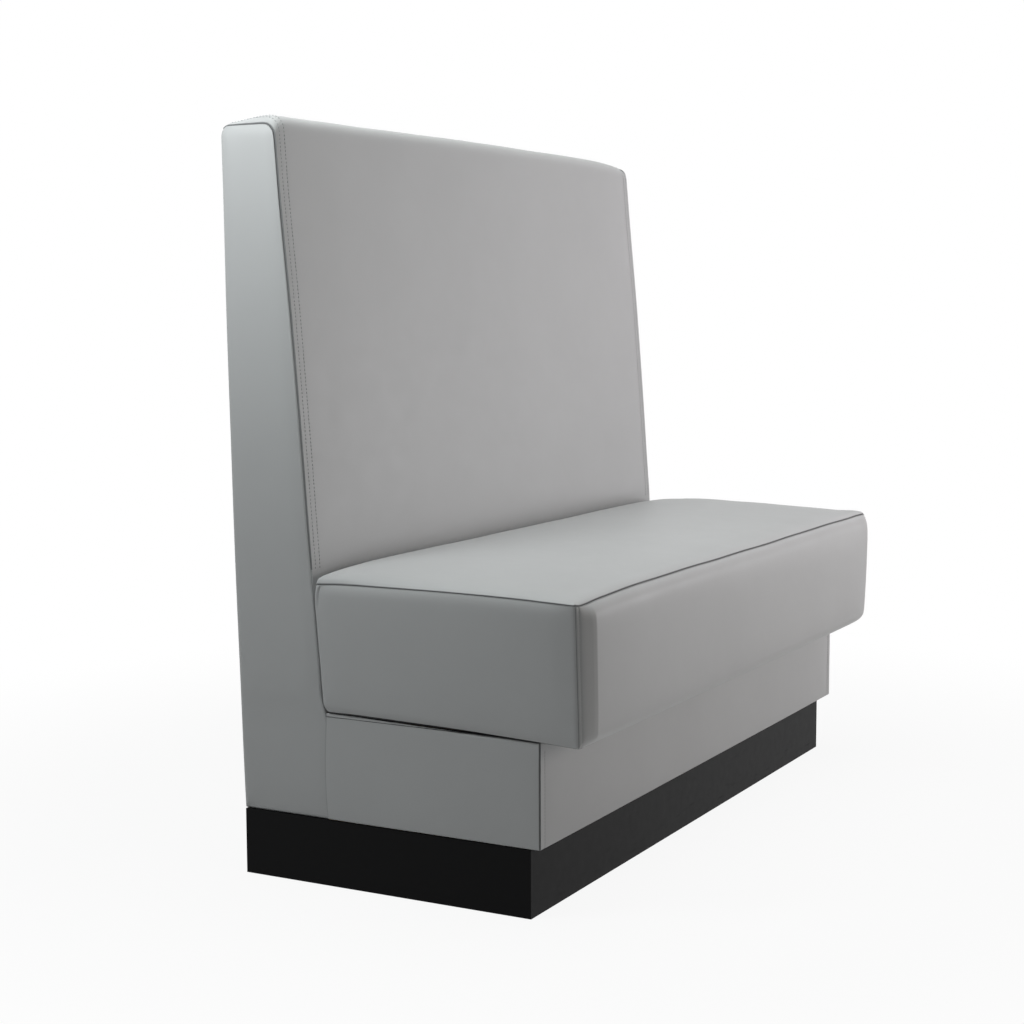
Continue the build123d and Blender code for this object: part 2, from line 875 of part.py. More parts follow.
def all_nodes():
    """Every node by name, each a shape or a list of like shapes."""
    return {
        **plinth(),
        **base_boards(),
        "base_battens": base_battens(),
        "base_fixing_screws": [screw(*line) for line in fixing_screw_lines()],
        "base_rest_pads": base_rest_pads(),
        **skirt(),
        **seat_frame(),
        "seat_pegs": seat_pegs(),
        "seat_underlining": seat_underlining(),
        **seat_padding(),
        **seat_cover(),
        **back_frame(),
        **back_foams(),
        **back_covers(),
        **outside_back(),
        **joining_bolts(),
    }


def solids_of(shape):
    """The solids of a shape or of a list of shapes."""
    shapes = shape if isinstance(shape, list) else [shape]
    return [solid for one in shapes for solid in one.solids()]


def main():
    os.makedirs("parts", exist_ok=True)
    for name, shape in all_nodes().items():
        solids = solids_of(shape)
        whole = solids[0] if len(solids) == 1 else Compound(solids)
        export_step(whole, f"parts/{name}.step")


main()
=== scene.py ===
import json
import math

import bmesh
import bpy
import numpy as np
from mathutils import Matrix, Vector


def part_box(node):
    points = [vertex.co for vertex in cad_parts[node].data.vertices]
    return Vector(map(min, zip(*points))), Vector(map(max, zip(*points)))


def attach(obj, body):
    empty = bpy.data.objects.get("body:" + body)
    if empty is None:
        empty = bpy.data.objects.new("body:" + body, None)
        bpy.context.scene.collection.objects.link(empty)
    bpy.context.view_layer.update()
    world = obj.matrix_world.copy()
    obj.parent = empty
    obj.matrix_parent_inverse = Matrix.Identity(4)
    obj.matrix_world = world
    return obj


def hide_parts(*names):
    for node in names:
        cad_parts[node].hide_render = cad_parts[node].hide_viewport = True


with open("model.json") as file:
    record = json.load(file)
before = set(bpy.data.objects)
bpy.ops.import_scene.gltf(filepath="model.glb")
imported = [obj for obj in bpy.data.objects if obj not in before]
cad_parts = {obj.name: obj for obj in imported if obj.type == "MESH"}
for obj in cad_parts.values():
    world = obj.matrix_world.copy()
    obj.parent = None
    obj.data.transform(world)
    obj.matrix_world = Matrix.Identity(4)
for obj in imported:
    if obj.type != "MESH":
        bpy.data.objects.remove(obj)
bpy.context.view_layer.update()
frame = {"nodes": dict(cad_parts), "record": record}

# Sizes are in millimetres and become metres where a mesh is made. X runs along the bench, a depth is
# measured forward from the plinth's rear face, and Z goes up from the floor. A table pairs places with
# depths or heights, for a smooth curve through them.

MM = 0.001
COS_45 = math.sqrt(0.5)

plinth_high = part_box("plinth_left_end_board")[1] / MM
REAR_Y = plinth_high.y
PLINTH_TOP = plinth_high.z

# Cushion: the seams droop a little at its corners, and the front stands forward between them
CUSHION_HALF = 609.5
CUSHION_DEPTH = 425.0
CUSHION_UNDER = 257.4
CUSHION_TURN = 7.0
BOXING = 197.0
BACK_PLAY = 0.5
LIP_ROW = 4.2
PLEAT = 7.5
NEAR_SHOULDER = (23.0, 31.0)
SEAT_FRONT_TOP, SEAT_FRONT_FOOT = 562.3, 567.6
CUSHION_END_FOOT = [(130, 7.6), (150, 7.6), (207, 7.2), (300, 5.4), (379, 3.7), (440, 1.4), (508, -1.4),
                    (550, -3.4), (572, -4.6)]
SEAT_FRONT_SEAM = [(-610, 451.2), (-598, 450.6), (-585, 451.4), (-560, 453.6), (-506, 455.6), (-369, 457.4),
                   (-140, 456.9), (123, 455.9), (321, 456.3), (542, 455.2), (585, 455.0), (610, 454.4)]
SEAT_REAR_SEAM = 452.4
SEAT_REAR_RISE = [(-610, 0.0), (-560, 3.0), (-500, 4.8), (-400, 5.4), (-250, 4.8), (-100, 3.8), (100, 2.8),
                  (300, 2.6), (450, 1.4), (540, -0.6), (610, -2.8)]
SEAT_NEAR_END_SEAM = [(130, 452.6), (162, 454.4), (250, 455.8), (365, 456.2), (508, 453.3), (545, 451.6),
                      (565, 450.6)]
SEAT_FAR_END_SEAM = [(130, 449.6), (162, 452.6), (250, 458.8), (323, 461.6), (358, 460.2), (393, 457.6),
                     (428, 455.0), (463, 453.8), (498, 453.4), (532, 454.8), (550, 455.0), (565, 454.4)]
SEAT_FAR_BULGE = [(250, 0.0), (258, 0.7), (290, 1.6), (340, 2.6), (390, 3.0), (425, 2.8), (440, 1.9), (447, 0.9),
                  (451, 0.3), (454, 0.0)]
REAR_CORNER_LEAN = [(250, 6.0), (262, 2.0), (270, 0.6), (285, 0.2), (330, 0.6), (400, 0.9), (430, 1.4), (455, 4.4)]

# Base: the cover's hem, row and top, and how far behind its face and between which heights its board is
SKIRT_HALF = 605.5
SKIRT_FRONT = 504.5
SKIRT_TOP = 254.7
SKIRT_CREST = 255.1
SKIRT_ROW = 12.5
HEM = 99.8
BOARD_FACE, BOARD_FOOT, BOARD_HEAD = -5.4, 100.02, 254.72
JOINT_DEPTH = 150.6
JOINT_BOW = 3.5
TAIL_SET_FORWARD, TAIL_RISE = 0.6, 8.0

# Back
BACK_HALF = 600.5
BACK_SEAM = 1121.8
BACK_LOW = 148.0
BACK_TOP = 72.0
OVERHANG = 26.0
BACK_CORNER = 19.0
BACK_REAR_CORNER = 15.0
CORNER_STEPS = 24
BACK_ROWS = (8.5, 19.5)
HEAD_LIFT = [(-601, 0.0), (-598.5, 3.4), (-595, 6.6), (-588, 9.8), (-575, 11.0), (-558, 11.0), (-540, 10.6),
             (-500, 10.0), (-440, 9.8), (-340, 9.6), (-200, 10.4), (0, 10.0), (200, 8.8), (300, 8.0), (430, 6.2),
             (510, 3.6), (560, 0.8), (580, -1.2), (592, -3.2), (601, -4.4)]
OUTSIDE_THICK = 5.4
CAD_BACK_SEAM = 1120.0
LEAN = (BACK_LOW - BACK_TOP) / (CAD_BACK_SEAM - SKIRT_TOP)
REAR_LEAN = OVERHANG / (CAD_BACK_SEAM - PLINTH_TOP)
FRONT_SEAM_SET_BACK = [(90, 0.0), (255, 0.0), (264, 3.0), (276, 5.4), (320, 5.0), (400, 4.6), (457, 5.2),
                       (502, 5.2), (679, 3.0), (853, 2.0), (1027, 3.4), (1130, 2.8)]
REAR_SWELL = [(90, 5.6), (111, 6.0), (296, 7.2), (479, 8.0), (660, 7.0), (839, 5.8), (1015, 2.8), (1130, 1.6)]

# Filling: the spacing of the grid that is blown up, the steps of time it takes, the level of relief below
# which a cover is held flat, and the cloth
FILL_STEP = 13.0
FILL_FRAMES = 20
HELD_LEVEL = 0.3
FILL_CLOTH = {
    "quality": 6, "mass": 0.4, "tension_stiffness": 30, "compression_stiffness": 30, "shear_stiffness": 12,
    "bending_stiffness": 4, "air_damping": 2, "vertex_group_mass": "held", "use_pressure": True,
    "uniform_pressure_force": 4.0,
}

# The usual spacing of a cover's points along the bench, and the distance marked where no seam or row is near
COVER_STEP = 13.0
UNMARKED = 80.0

# Stitches and staples: places along and out of the face, for one of each
STITCH = [(-1.9, -0.45), (-1.5, 0.05), (-0.6, 0.22), (0.6, 0.22), (1.5, 0.05), (1.9, -0.45)]
SHORT_STITCH = [(-1.4, -0.5), (-1.1, 0.05), (-0.5, 0.3), (0.5, 0.3), (1.1, 0.05), (1.4, -0.5)]
STAPLE = [(-5.0, -0.5), (-4.7, 0.25), (4.7, 0.25), (5.0, -0.5)]
STAPLE_INSET, STAPLE_PITCH = 7.0, 45.0

# Soft boxes of light, in metres and watts: where, aimed at, width, height, power, colour
LAMPS = {
    "overhead_box": ((0, -0.1, 2.7), (0, -0.1, 0), 2.0, 2.0, 37.5, (0.967, 1.0, 0.983)),
    "right_box": ((3.0, -0.6, 1.6), (0.5, -0.1, 0.6), 1.6, 1.6, 10.0, (1.0, 0.91, 0.98)),
    "front_box": ((0.9, -2.4, 1.0), (0.1, -0.4, 0.4), 1.4, 1.0, 7.2, (1.0, 0.88, 0.78)),
    "right_front_box": ((3.0, -2.2, 0.7), (0.2, -0.4, 0.4), 1.4, 1.2, 31.0, (0.982, 0.972, 1.0)),
    "left_box": ((-1.25, 0.4, 1.45), (-0.6, 0.25, 0.95), 0.4, 0.5, 8.0, (0.955, 1.0, 1.0)),
}
FLOOR_REACH = 12000.0


def smooth_through(nodes, values, wanted):
    """Values at the wanted places on a smooth curve through the values at the nodes, along the first axis."""
    slopes = np.gradient(values, nodes, axis=0)
    k = np.clip(np.searchsorted(nodes, wanted, side="right") - 1, 0, len(nodes) - 2)
    width = (nodes[k + 1] - nodes[k])[:, None]
    t = (wanted[:, None] - nodes[k][:, None]) / width
    start, end = values[k], values[k + 1]
    first, last = slopes[k] * width, slopes[k + 1] * width
    rising = t * t * (3 - 2 * t)
    return start * (1 - rising) + end * rising + first * t * (1 - t) ** 2 - last * t * t * (1 - t)


def through(table, wanted):
    """Values at the wanted places on a smooth curve through a table."""
    nodes, values = np.array(table, float).T
    flat = np.atleast_1d(np.asarray(wanted, float))
    return smooth_through(nodes, values[:, None], flat.reshape(-1)).reshape(flat.shape)


def eased(value, low, high):
    """A share that goes smoothly from 0 at low to 1 at high."""
    t = np.clip((value - low) / (high - low), 0, 1)
    return t * t * (3 - 2 * t)


def arched(distance, reach, steepness=2):
    """A share that rises from 0 at a side, steeply at first, to 1 at its reach."""
    return 1 - (1 - np.clip(distance / reach, 0, 1)) ** steepness


def shouldered(distance, reach):
    """A share that rises almost straight from 0 at a side to 1 at its reach."""
    return arched(distance, reach, 1.35)


def from_ends(x, reach, half=CUSHION_HALF):
    """A share that is 0 at both ends of the bench and nears 1 a few reaches in."""
    return 1 - np.exp(-(half - np.abs(x)) / reach)


def face_at(z):
    """Depth of the straight leaning face of the back's frame and foam at height z."""
    return BACK_LOW - (z - SKIRT_TOP) * LEAN


def rear_at(z):
    """Depth of the back's rear at its ends, which swells a little between top and bottom."""
    return (PLINTH_TOP - z) * REAR_LEAN - through(REAR_SWELL, z)


def joint_bow(z):
    """How far the upright joint between the base and the back bows to the rear at height z."""
    return JOINT_BOW * np.sin(np.pi * np.clip((z - PLINTH_TOP) / (SKIRT_TOP - PLINTH_TOP), 0, 1))


def point_at(x, depth, z):
    """A point in the frame that all pieces share, still in millimetres."""
    return (x, REAR_Y - depth, z)


def unit(vectors):
    """The same directions with a length of 1."""
    return vectors / np.maximum(np.linalg.norm(vectors, axis=-1, keepdims=True), 1e-12)


def run_along(line):
    """Distance of each point of a line from its start."""
    return np.r_[0, np.cumsum(np.linalg.norm(np.diff(np.array(line, float), axis=0), axis=1))]


def between(where, run, values):
    """Points or directions at these distances along a line, from the ones at its own distances."""
    return np.stack([np.interp(where, run, values[:, k]) for k in range(3)], 1)


def meshed(name, points, faces):
    """A mesh from points in millimetres."""
    mesh = bpy.data.meshes.new(name)
    mesh.from_pydata((np.array(points, float) * MM).tolist(), [], faces)
    return mesh


def added(name, data):
    """A new object in the scene."""
    made = bpy.data.objects.new(name, data)
    bpy.context.scene.collection.objects.link(made)
    return made


# Making upholstery from panels


class Side:
    """How a panel ends at one of its sides: sewn down in a groove, folded round, or carried on."""

    def __init__(self, roll=0.0, groove=0.0, gap=0.0, height=0.0):
        self.sewn = groove > 0
        if roll == 0:
            self.path, self.reach, self.height = None, 0.0, height
            return
        points = [(0.0, 0.0)]
        heading = math.pi / 4
        if self.sewn:
            heading = 3 * math.pi / 4
            points.append((gap / 2 * COS_45, gap / 2 * COS_45))
            points.append((points[1][0] - groove * COS_45, points[1][1] + groove * COS_45))
        x, y = points[-1]
        centre = (x + roll * math.sin(heading), y - roll * math.cos(heading))
        for angle in np.linspace(heading, 0, 17)[1:]:
            points.append((centre[0] - roll * math.sin(angle), centre[1] + roll * math.cos(angle)))
        self.path, lengths = np.array(points), run_along(points)
        self.shares = lengths / lengths[-1]
        self.reach, self.height = self.path[-1]

    def shape(self, distance):
        """How far a point at this distance from the side slides along the panel, and its share of the rise."""
        if self.path is None:
            return np.zeros_like(distance), np.ones_like(distance)
        share = np.clip(distance / self.reach, 0, 1)
        along = np.interp(share, self.shares, self.path[:, 0])
        rise = np.interp(share, self.shares, self.path[:, 1])
        return np.where(distance < self.reach, along - distance, 0), rise / self.height


SEAM = Side(roll=1.0, groove=0.5, gap=0.3)
FINE_SEAM = Side(roll=0.8, groove=0.4, gap=0.25)
PLAIN = Side()


def fold(radius):
    """A side that turns a corner of this radius with its neighbour, with no seam."""
    return Side(roll=radius)


def carried_on(height):
    """A side where the cover goes on into the next panel at this height."""
    return Side(height=height)


def stations(length, step, low=SEAM, high=SEAM, low_rows=(), high_rows=()):
    """Distances along a side, close together at its ends and at rows of stitching, step apart between."""

    def close(side, rows):
        places = [side.reach * k / 6 for k in range(7)] if side.reach else [0.0]
        room = 0.7
        while room < step:
            places.append(places[-1] + room)
            room *= 1.5
        fine = [row + offset for row in rows for offset in (-1.5, -0.7, 0.0, 0.7, 1.5)]
        kept = [place for place in places if all(abs(place - near) > 1.0 for near in fine)]
        return sorted(kept + fine)

    lows, highs = close(low, low_rows), close(high, high_rows)
    left = length - lows[-1] - highs[-1]
    count = max(1, round(left / step))
    middle = [lows[-1] + left * k / count for k in range(1, count)]
    return np.array(lows + middle + [length - place for place in reversed(highs)])


def sampled(points, shares):
    """Points at these shares of a line's length."""
    points, run = np.array(points, float), run_along(points)
    return between(np.array(shares) * run[-1], run, points)


def straight(start, end, shares):
    """Points on a straight line."""
    start, end, shares = np.array(start, float), np.array(end, float), np.array(shares)[:, None]
    return start + (end - start) * shares


def stretched_between(low, high, left, right, u, v):
    """The smooth surface between four edge lines that share their corners."""
    a, b = u[:, None, None], v[None, :, None]
    across = (1 - a) * left[None] + a * right[None]
    along = (1 - b) * low[:, None] + b * high[:, None]
    corners = (1 - a) * (1 - b) * low[0] + a * (1 - b) * low[-1] + (1 - a) * b * high[0] + a * b * high[-1]
    return across + along - corners


def lengths_along(points, axis):
    """Distance of each grid point from the start of its row."""
    steps = np.linalg.norm(np.diff(points, axis=axis), axis=2)
    return np.insert(np.cumsum(steps, axis=axis), 0, 0, axis=axis)


class Panel:
    """One cut of vinyl, as a grid of points between its four sides: low, high, left and right lines.

    Its sides are numbered 0 at left, 1 at right, 2 at low and 3 at high. crown is how far the filling lifts
    the panel above its rolled sides, and firm how soon it does so. level is the share of all relief that is
    kept. shoulders hold the crown down near a side, and rows are shallow valleys of topstitching beside a
    side, as (side, distance, depth, width). press is a lift of its own, and raised is one straight up. The
    filling is never taken for less than least, because the foam holds the cover out there. Each of these is
    a number, or a function that works it out from the panel's base points.
    """

    def __init__(self, low, high, left, right, sides, rise, outward=1, crown=None, firm=4.0, level=1.0,
                 shoulders=(), rows=(), press=0.0, raised=0.0, least=-0.02):
        self.u, self.v = (run / run[-1] for run in (run_along(low), run_along(left)))
        self.base = stretched_between(low, high, left, right, self.u, self.v)
        self.sides, self.rise, self.outward = sides, rise, outward
        self.shoulders, self.rows = shoulders, rows
        self.x, self.depth, self.z = self.base[..., 0], REAR_Y - self.base[..., 1], self.base[..., 2]
        run_u, run_v = lengths_along(self.base, 0), lengths_along(self.base, 1)
        self.distances = [run_u, run_u[-1:] - run_u, run_v, run_v[:, -1:] - run_v]
        self.along_u = unit(np.gradient(self.base, axis=0))
        self.along_v = unit(np.gradient(self.base, axis=1))
        self.normal = unit(np.cross(self.along_u, self.along_v)) * outward

        def everywhere(given):
            return (given(self) if callable(given) else given) * np.ones(self.x.shape)

        self.crown = None if crown is None else everywhere(crown)
        self.firm, self.level, self.press = everywhere(firm), everywhere(level), everywhere(press)
        self.raised, self.least = everywhere(raised), everywhere(least)
        self.filling = np.zeros(self.x.shape)

    def plain_filling(self):
        """The share of its crown that each point takes, worked out and not simulated."""
        a, b = self.u[:, None], self.v[None]
        return (1 - (2 * a - 1) ** 2) * (1 - (2 * b - 1) ** 2)

    def swell(self):
        """How far the filling lifts each point above the rolled sides."""
        if self.crown is None:
            return np.zeros(self.x.shape)
        share = (1 - np.exp(-self.firm * self.filling)) / (1 - np.exp(-self.firm))
        for side, start, end in self.shoulders:
            share = share * eased(self.distances[side], start, end)
        uneven = wave(self.x, (0.35, 430, 0.2), (0.2, 190, 0.65)) + wave(self.z + self.depth, (0.35, 370, 0.45))
        return (self.crown + uneven) * share

    def shape(self):
        """The finished places of the panel's points."""
        shapes = [side.shape(distance) for side, distance in zip(self.sides, self.distances)]
        slides, shares = [s[0] for s in shapes], [s[1] for s in shapes]
        # Near a side the panel stands at that side's height, and from about 30 mm in at its own rise
        weights = [1 / (distance + 1) ** 4 for distance in self.distances]
        settle = 1 / 30**4
        full = sum(w * side.height for w, side in zip(weights, self.sides)) + settle * self.rise
        full = full / (sum(weights) + settle)
        slide_u = (slides[0] - slides[1]) * shares[2] * shares[3] * self.level
        slide_v = (slides[2] - slides[3]) * shares[0] * shares[1] * self.level
        height = full * shares[0] * shares[1] * shares[2] * shares[3] + self.swell()
        for side, place, deep, width in self.rows:
            height = height - deep * np.exp(-((self.distances[side] - place) / width) ** 2)
        height = height * self.level + self.press
        moved = self.base + self.along_u * slide_u[..., None] + self.along_v * slide_v[..., None]
        return moved + self.normal * height[..., None] + self.raised[..., None] * np.array([0.0, 0.0, 1.0])

    def line_beside(self, side, distance):
        """The finished points, and the way outward, along a line at this distance from a side."""
        grid, ways = self.shape(), self.normal
        reach = self.distances[side]
        if side > 1:
            grid, ways, reach = grid.transpose(1, 0, 2), ways.transpose(1, 0, 2), reach.T
        if side % 2:
            grid, ways, reach = grid[::-1], ways[::-1], reach[::-1]
        line, way = (
            np.concatenate([between([distance], reach[:, j], values[:, j]) for j in range(grid.shape[1])])
            for values in (grid, ways)
        )
        return line, unit(way)

    def marks(self):
        """Distances to the nearest seam and to the nearest row of the skirt's topstitching."""
        far = np.full(self.x.shape, UNMARKED)
        seams = [distance for side, distance in zip(self.sides, self.distances) if side.sewn]
        rows = [np.abs(self.distances[side] - place) for side, place, *_ in self.rows if place == SKIRT_ROW]
        seam = np.where(self.level > 0.5, np.min([far, *seams], axis=0), far)
        return {"seam": seam, "row": np.min([far, *rows], axis=0)}


def wave(places, *terms):
    """A gentle irregular line: the sum of (height, length, start) waves."""
    return sum(height * np.sin(2 * np.pi * (places / length + start)) for height, length, start in terms)


def quads_of(n, outward=1):
    """The faces of a grid of point numbers, turned outward."""
    ring = [n[:-1, :-1], n[1:, :-1], n[1:, 1:], n[:-1, 1:]]
    return np.stack([corner.reshape(-1) for corner in ring[::outward]], 1)


def joined(panels, grids):
    """One list of the points that the panels' grids share, with each grid's numbers into it and its faces."""
    flat = np.concatenate([grid.reshape(-1, 3) for grid in grids])
    keys = np.round(flat * 1000).astype(np.int64)
    _, first, number = np.unique(keys, axis=0, return_index=True, return_inverse=True)
    parts = np.split(number.reshape(-1), np.cumsum([grid[..., 0].size for grid in grids])[:-1])
    numbers = [part.reshape(grid.shape[:2]) for part, grid in zip(parts, grids)]
    return flat[first], numbers, [quads_of(n, panel.outward) for n, panel in zip(numbers, panels)]


def every(places, step):
    """Which places to keep so that they stand at least step apart, ends included."""
    kept = [0]
    for k in range(1, len(places) - 1):
        if places[k] - places[kept[-1]] >= step and places[-1] - places[k] >= step:
            kept.append(k)
    return np.array(kept + [len(places) - 1])


def blown_up(name, places, faces, held):
    """How far each place moves when the faces are blown up as cloth that is held at some places."""
    blown = added(name, meshed(name, places, np.concatenate(faces).tolist()))
    group = blown.vertex_groups.new(name="held")
    group.add([int(k) for k in np.nonzero(held)[0]], 1.0, "REPLACE")
    settings = blown.modifiers.new("cloth", "CLOTH").settings
    for setting, value in FILL_CLOTH.items():
        setattr(settings, setting, value)
    settings.effector_weights.gravity = 0
    scene = bpy.context.scene
    for frame_number in range(1, FILL_FRAMES + 1):
        scene.frame_set(frame_number)
    ready = blown.evaluated_get(bpy.context.evaluated_depsgraph_get()).to_mesh()
    moves = np.array([vertex.co for vertex in ready.vertices]) - places * MM
    scene.frame_set(1)
    bpy.data.objects.remove(blown)
    return moves


def fill_out(name, panels):
    """Fills the panels: blows them up as cloth that is held at its seams, and keeps the shape that gives.

    Each panel keeps the share of its greatest lift that each of its points takes.
    """
    picks = [
        (every(panel.u * panel.distances[0][-1, 0], FILL_STEP), every(panel.v * panel.distances[2][0, -1], FILL_STEP))
        for panel in panels
    ]
    places, numbers, faces = joined(panels, [panel.base[np.ix_(*pick)] for panel, pick in zip(panels, picks)])
    held = np.zeros(len(places), bool)
    for panel, n, pick in zip(panels, numbers, picks):
        held[n if panel.crown is None else n[panel.level[np.ix_(*pick)] < HELD_LEVEL]] = True
        held[np.r_[n[0], n[-1], n[:, 0], n[:, -1]]] = True
    moves = blown_up(name, places, faces, held)
    for panel, n, (pick_u, pick_v) in zip(panels, numbers, picks):
        if panel.crown is None:
            continue
        lift = np.sum(moves[n] * panel.normal[np.ix_(pick_u, pick_v)], axis=2)
        lift = np.clip(lift / max(np.percentile(lift, 98), 1e-6), -0.1, 1.2)
        across = smooth_through(panel.u[pick_u], lift, panel.u)
        panel.filling = np.maximum(smooth_through(panel.v[pick_v], across.T, panel.v).T, panel.least)


def sewn_together(name, panels, close_ends=False, lined=()):
    """One mesh of all the panels, joined where they meet. The lined ones take the piece's second material."""
    base, numbers, faces = joined(panels, [panel.base for panel in panels])
    number = np.concatenate([n.reshape(-1) for n in numbers])
    places = np.zeros(base.shape)
    np.add.at(places, number, np.concatenate([panel.shape().reshape(-1, 3) for panel in panels]))
    places /= np.bincount(number)[:, None]
    mesh = meshed(name, places, np.concatenate(faces).tolist())
    second = np.concatenate([np.full(len(quads), k in lined) for k, quads in enumerate(faces)])
    mesh.polygons.foreach_set("material_index", second.astype(np.int32))
    marks = [panel.marks() for panel in panels]
    for label in ("seam", "row"):
        nearest = np.full(len(places), UNMARKED)
        np.minimum.at(nearest, number, np.concatenate([mark[label].reshape(-1) for mark in marks]))
        mesh.attributes.new(label, "FLOAT", "POINT").data.foreach_set("value", nearest.astype(np.float32))
    if close_ends:
        edit = bmesh.new()
        edit.from_mesh(mesh)
        caps = bmesh.ops.holes_fill(edit, edges=[edge for edge in edit.edges if edge.is_boundary], sides=0)
        bmesh.ops.triangulate(edit, faces=caps["faces"])
        edit.to_mesh(mesh)
        edit.free()
    mesh.polygons.foreach_set("use_smooth", [True] * len(mesh.polygons))
    return added(name, mesh)


def finished(piece, body, material, stands_for=(), levels=1):
    """Rides the piece on its body, dresses it and hides the CAD parts it stands for."""
    if levels:
        soft = piece.modifiers.new("soft", "SUBSURF")
        soft.levels = soft.render_levels = levels
    piece.data.materials.append(material)
    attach(piece, body)
    if stands_for:
        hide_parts(*stands_for)


# Shader arithmetic


class Value:
    """A shader socket that arithmetic can be written with."""

    def __init__(self, nodes, socket):
        self.nodes, self.socket = nodes, socket

    def worked(self, operation, other):
        return self.nodes.node("ShaderNodeMath", {"operation": operation}, {0: self, 1: other})[0]

    def __add__(self, other):
        return self.worked("ADD", other)

    def __mul__(self, other):
        return self.worked("MULTIPLY", other)

    __radd__, __rmul__ = __add__, __mul__


class Nodes:
    """The nodes of a material or of the surroundings, in the making."""

    def __init__(self, owner):
        owner.use_nodes = True
        self.owner, self.tree = owner, owner.node_tree
        self.tree.nodes.clear()

    def node(self, kind, settings=None, values=None):
        """Makes a node: its settings first, then the values or links of its sockets. Gives its outputs."""
        made = self.tree.nodes.new(kind)
        for name, setting in (settings or {}).items():
            setattr(made, name, setting)
        for key, value in (values or {}).items():
            socket = made.inputs[key]
            if isinstance(value, Value):
                self.tree.links.new(value.socket, socket)
            elif socket.type == "RGBA":
                socket.default_value = (*value, 1.0)
            else:
                socket.default_value = value
        return [Value(self, output) for output in made.outputs]

    def spread(self, value, low, high, to_low=0.0, to_high=1.0):
        """A value carried from one range to another, smoothly and kept inside it."""
        values = {0: value, 1: low, 2: high, 3: to_low, 4: to_high}
        return self.node("ShaderNodeMapRange", {"interpolation_type": "SMOOTHSTEP"}, values)[0]

    def white_rays(self):
        """1 for rays that see white: the camera's own, mirrored ones and ones that pass through."""
        path = self.node("ShaderNodeLightPath")
        return path[0].worked("MAXIMUM", path[3]).worked("MAXIMUM", path[6])

    def either(self, share, first, second, output):
        """Ends the nodes in one shader or the other, by their share."""
        both = self.node("ShaderNodeMixShader", {}, {0: share, 1: first, 2: second})[0]
        self.node(output, {}, {"Surface": both})


class Finish(Nodes):
    """A material in the making."""

    def __init__(self, name):
        super().__init__(bpy.data.materials.new(name))
        self.where = self.node("ShaderNodeTexCoord")[3]

    def noise(self, scale, detail=2.0, roughness=0.5, distortion=0.0, stretch=None):
        where = self.where
        if stretch:
            where = self.node("ShaderNodeVectorMath", {"operation": "MULTIPLY"}, {0: where, 1: stretch})[0]
        values = {"Vector": where, "Scale": scale, "Detail": detail, "Roughness": roughness, "Distortion": distortion}
        return self.node("ShaderNodeTexNoise", {}, values)[0]

    def mixed(self, share, first, second):
        """A colour between two colours."""
        return self.node("ShaderNodeMix", {"data_type": "RGBA"}, {0: share, 6: first, 7: second})[2]

    def attribute(self, name):
        return self.node("ShaderNodeAttribute", {"attribute_name": name})[2]

    def done(self, colour, rough, relief=None, others=None):
        """Ends the material in a shader. The relief is a height, its distance in metres and its strength."""
        values = {"Base Color": colour, "Roughness": rough, **(others or {})}
        if relief:
            height, distance, strength = relief
            bump = self.node("ShaderNodeBump", {}, {"Strength": strength, "Distance": distance, "Height": height})
            values["Normal"] = bump[0]
        shader = self.node("ShaderNodeBsdfPrincipled", {}, values)[0]
        self.node("ShaderNodeOutputMaterial", {}, {"Surface": shader})
        return self.owner


def grey_vinyl():
    """Smooth upholstery vinyl: a fine grain, a soft mottle, dust and painted shade down in the seams, and painted
    shade along the skirt's topstitch rows.
    """
    finish = Finish("grey_upholstery_vinyl")
    seam, row = finish.attribute("seam"), finish.attribute("row")
    colour = finish.mixed(finish.noise(9.0, 3.0), (0.424, 0.428, 0.432), (0.446, 0.45, 0.453))
    cloud = finish.spread(finish.noise(2.2), 0.35, 0.7, 0.0, 0.35)
    colour = finish.mixed(cloud, colour, (0.455, 0.46, 0.462))
    # Painted shade, with some dust: the colour goes dark down in the seam grooves
    in_seam = finish.spread(seam, 0.15, 0.75, 1.0, 0.0)
    colour = finish.mixed(in_seam * 0.75, colour, (0.07, 0.072, 0.075))
    # Painted shade: the colour darkens a little along the shallow valley of the skirt's topstitch row
    colour = finish.mixed(finish.spread(row, 0.2, 1.3, 0.08, 0.0), colour, (0.2, 0.205, 0.21))
    cells = finish.node("ShaderNodeTexVoronoi", {"feature": "F1"}, {"Vector": finish.where, "Scale": 900.0})[0]
    grain = finish.noise(700.0) * 0.6 + cells * 0.5
    rough = 0.46 + finish.noise(35.0, 3.0) * 0.1 + in_seam * 0.3
    return finish.done(colour, rough, (grain, 0.00006, 0.6), {"Specular IOR Level": 0.5})


def black_laminate():
    """Satin black laminate: a faint fine texture and dull scuffs near the floor."""
    finish = Finish("satin_black_laminate")
    scuff = finish.noise(3.0, 4.0, 0.6, stretch=(6.0, 6.0, 40.0))
    low = finish.node("ShaderNodeSeparateXYZ", {}, {0: finish.where})[2]
    worn = finish.spread(low, 0.0, 0.05, 1.0, 0.2) * finish.spread(scuff, 0.55, 0.8)
    colour = finish.mixed(worn * 0.4, (0.0055, 0.0055, 0.0058), (0.014, 0.014, 0.014))
    rough = 0.44 + finish.noise(60.0, 3.0) * 0.1 + worn * 0.2
    return finish.done(colour, rough, (finish.noise(1400.0) * 0.5, 0.00004, 0.5), {"Specular IOR Level": 0.06})


def timber(name, pale, dark, along, ring_scale, rough):
    """Sawn timber or ply with its grain along one axis."""
    finish = Finish(name)
    stretch = tuple(0.12 if axis == along else 1.0 for axis in range(3))
    grain = finish.noise(ring_scale, 6.0, 0.62, 0.4, stretch)
    fibre = finish.noise(ring_scale * 14, 3.0, 0.7, 0.0, stretch)
    colour = finish.mixed(finish.spread(grain, 0.3, 0.7), pale, dark)
    colour = finish.mixed(finish.spread(fibre, 0.45, 0.75, 0.0, 0.5), colour, tuple(c * 0.6 for c in dark))
    return finish.done(colour, rough + fibre * 0.15, (fibre * 0.6 + grain * 0.4, 0.0006, 0.5))


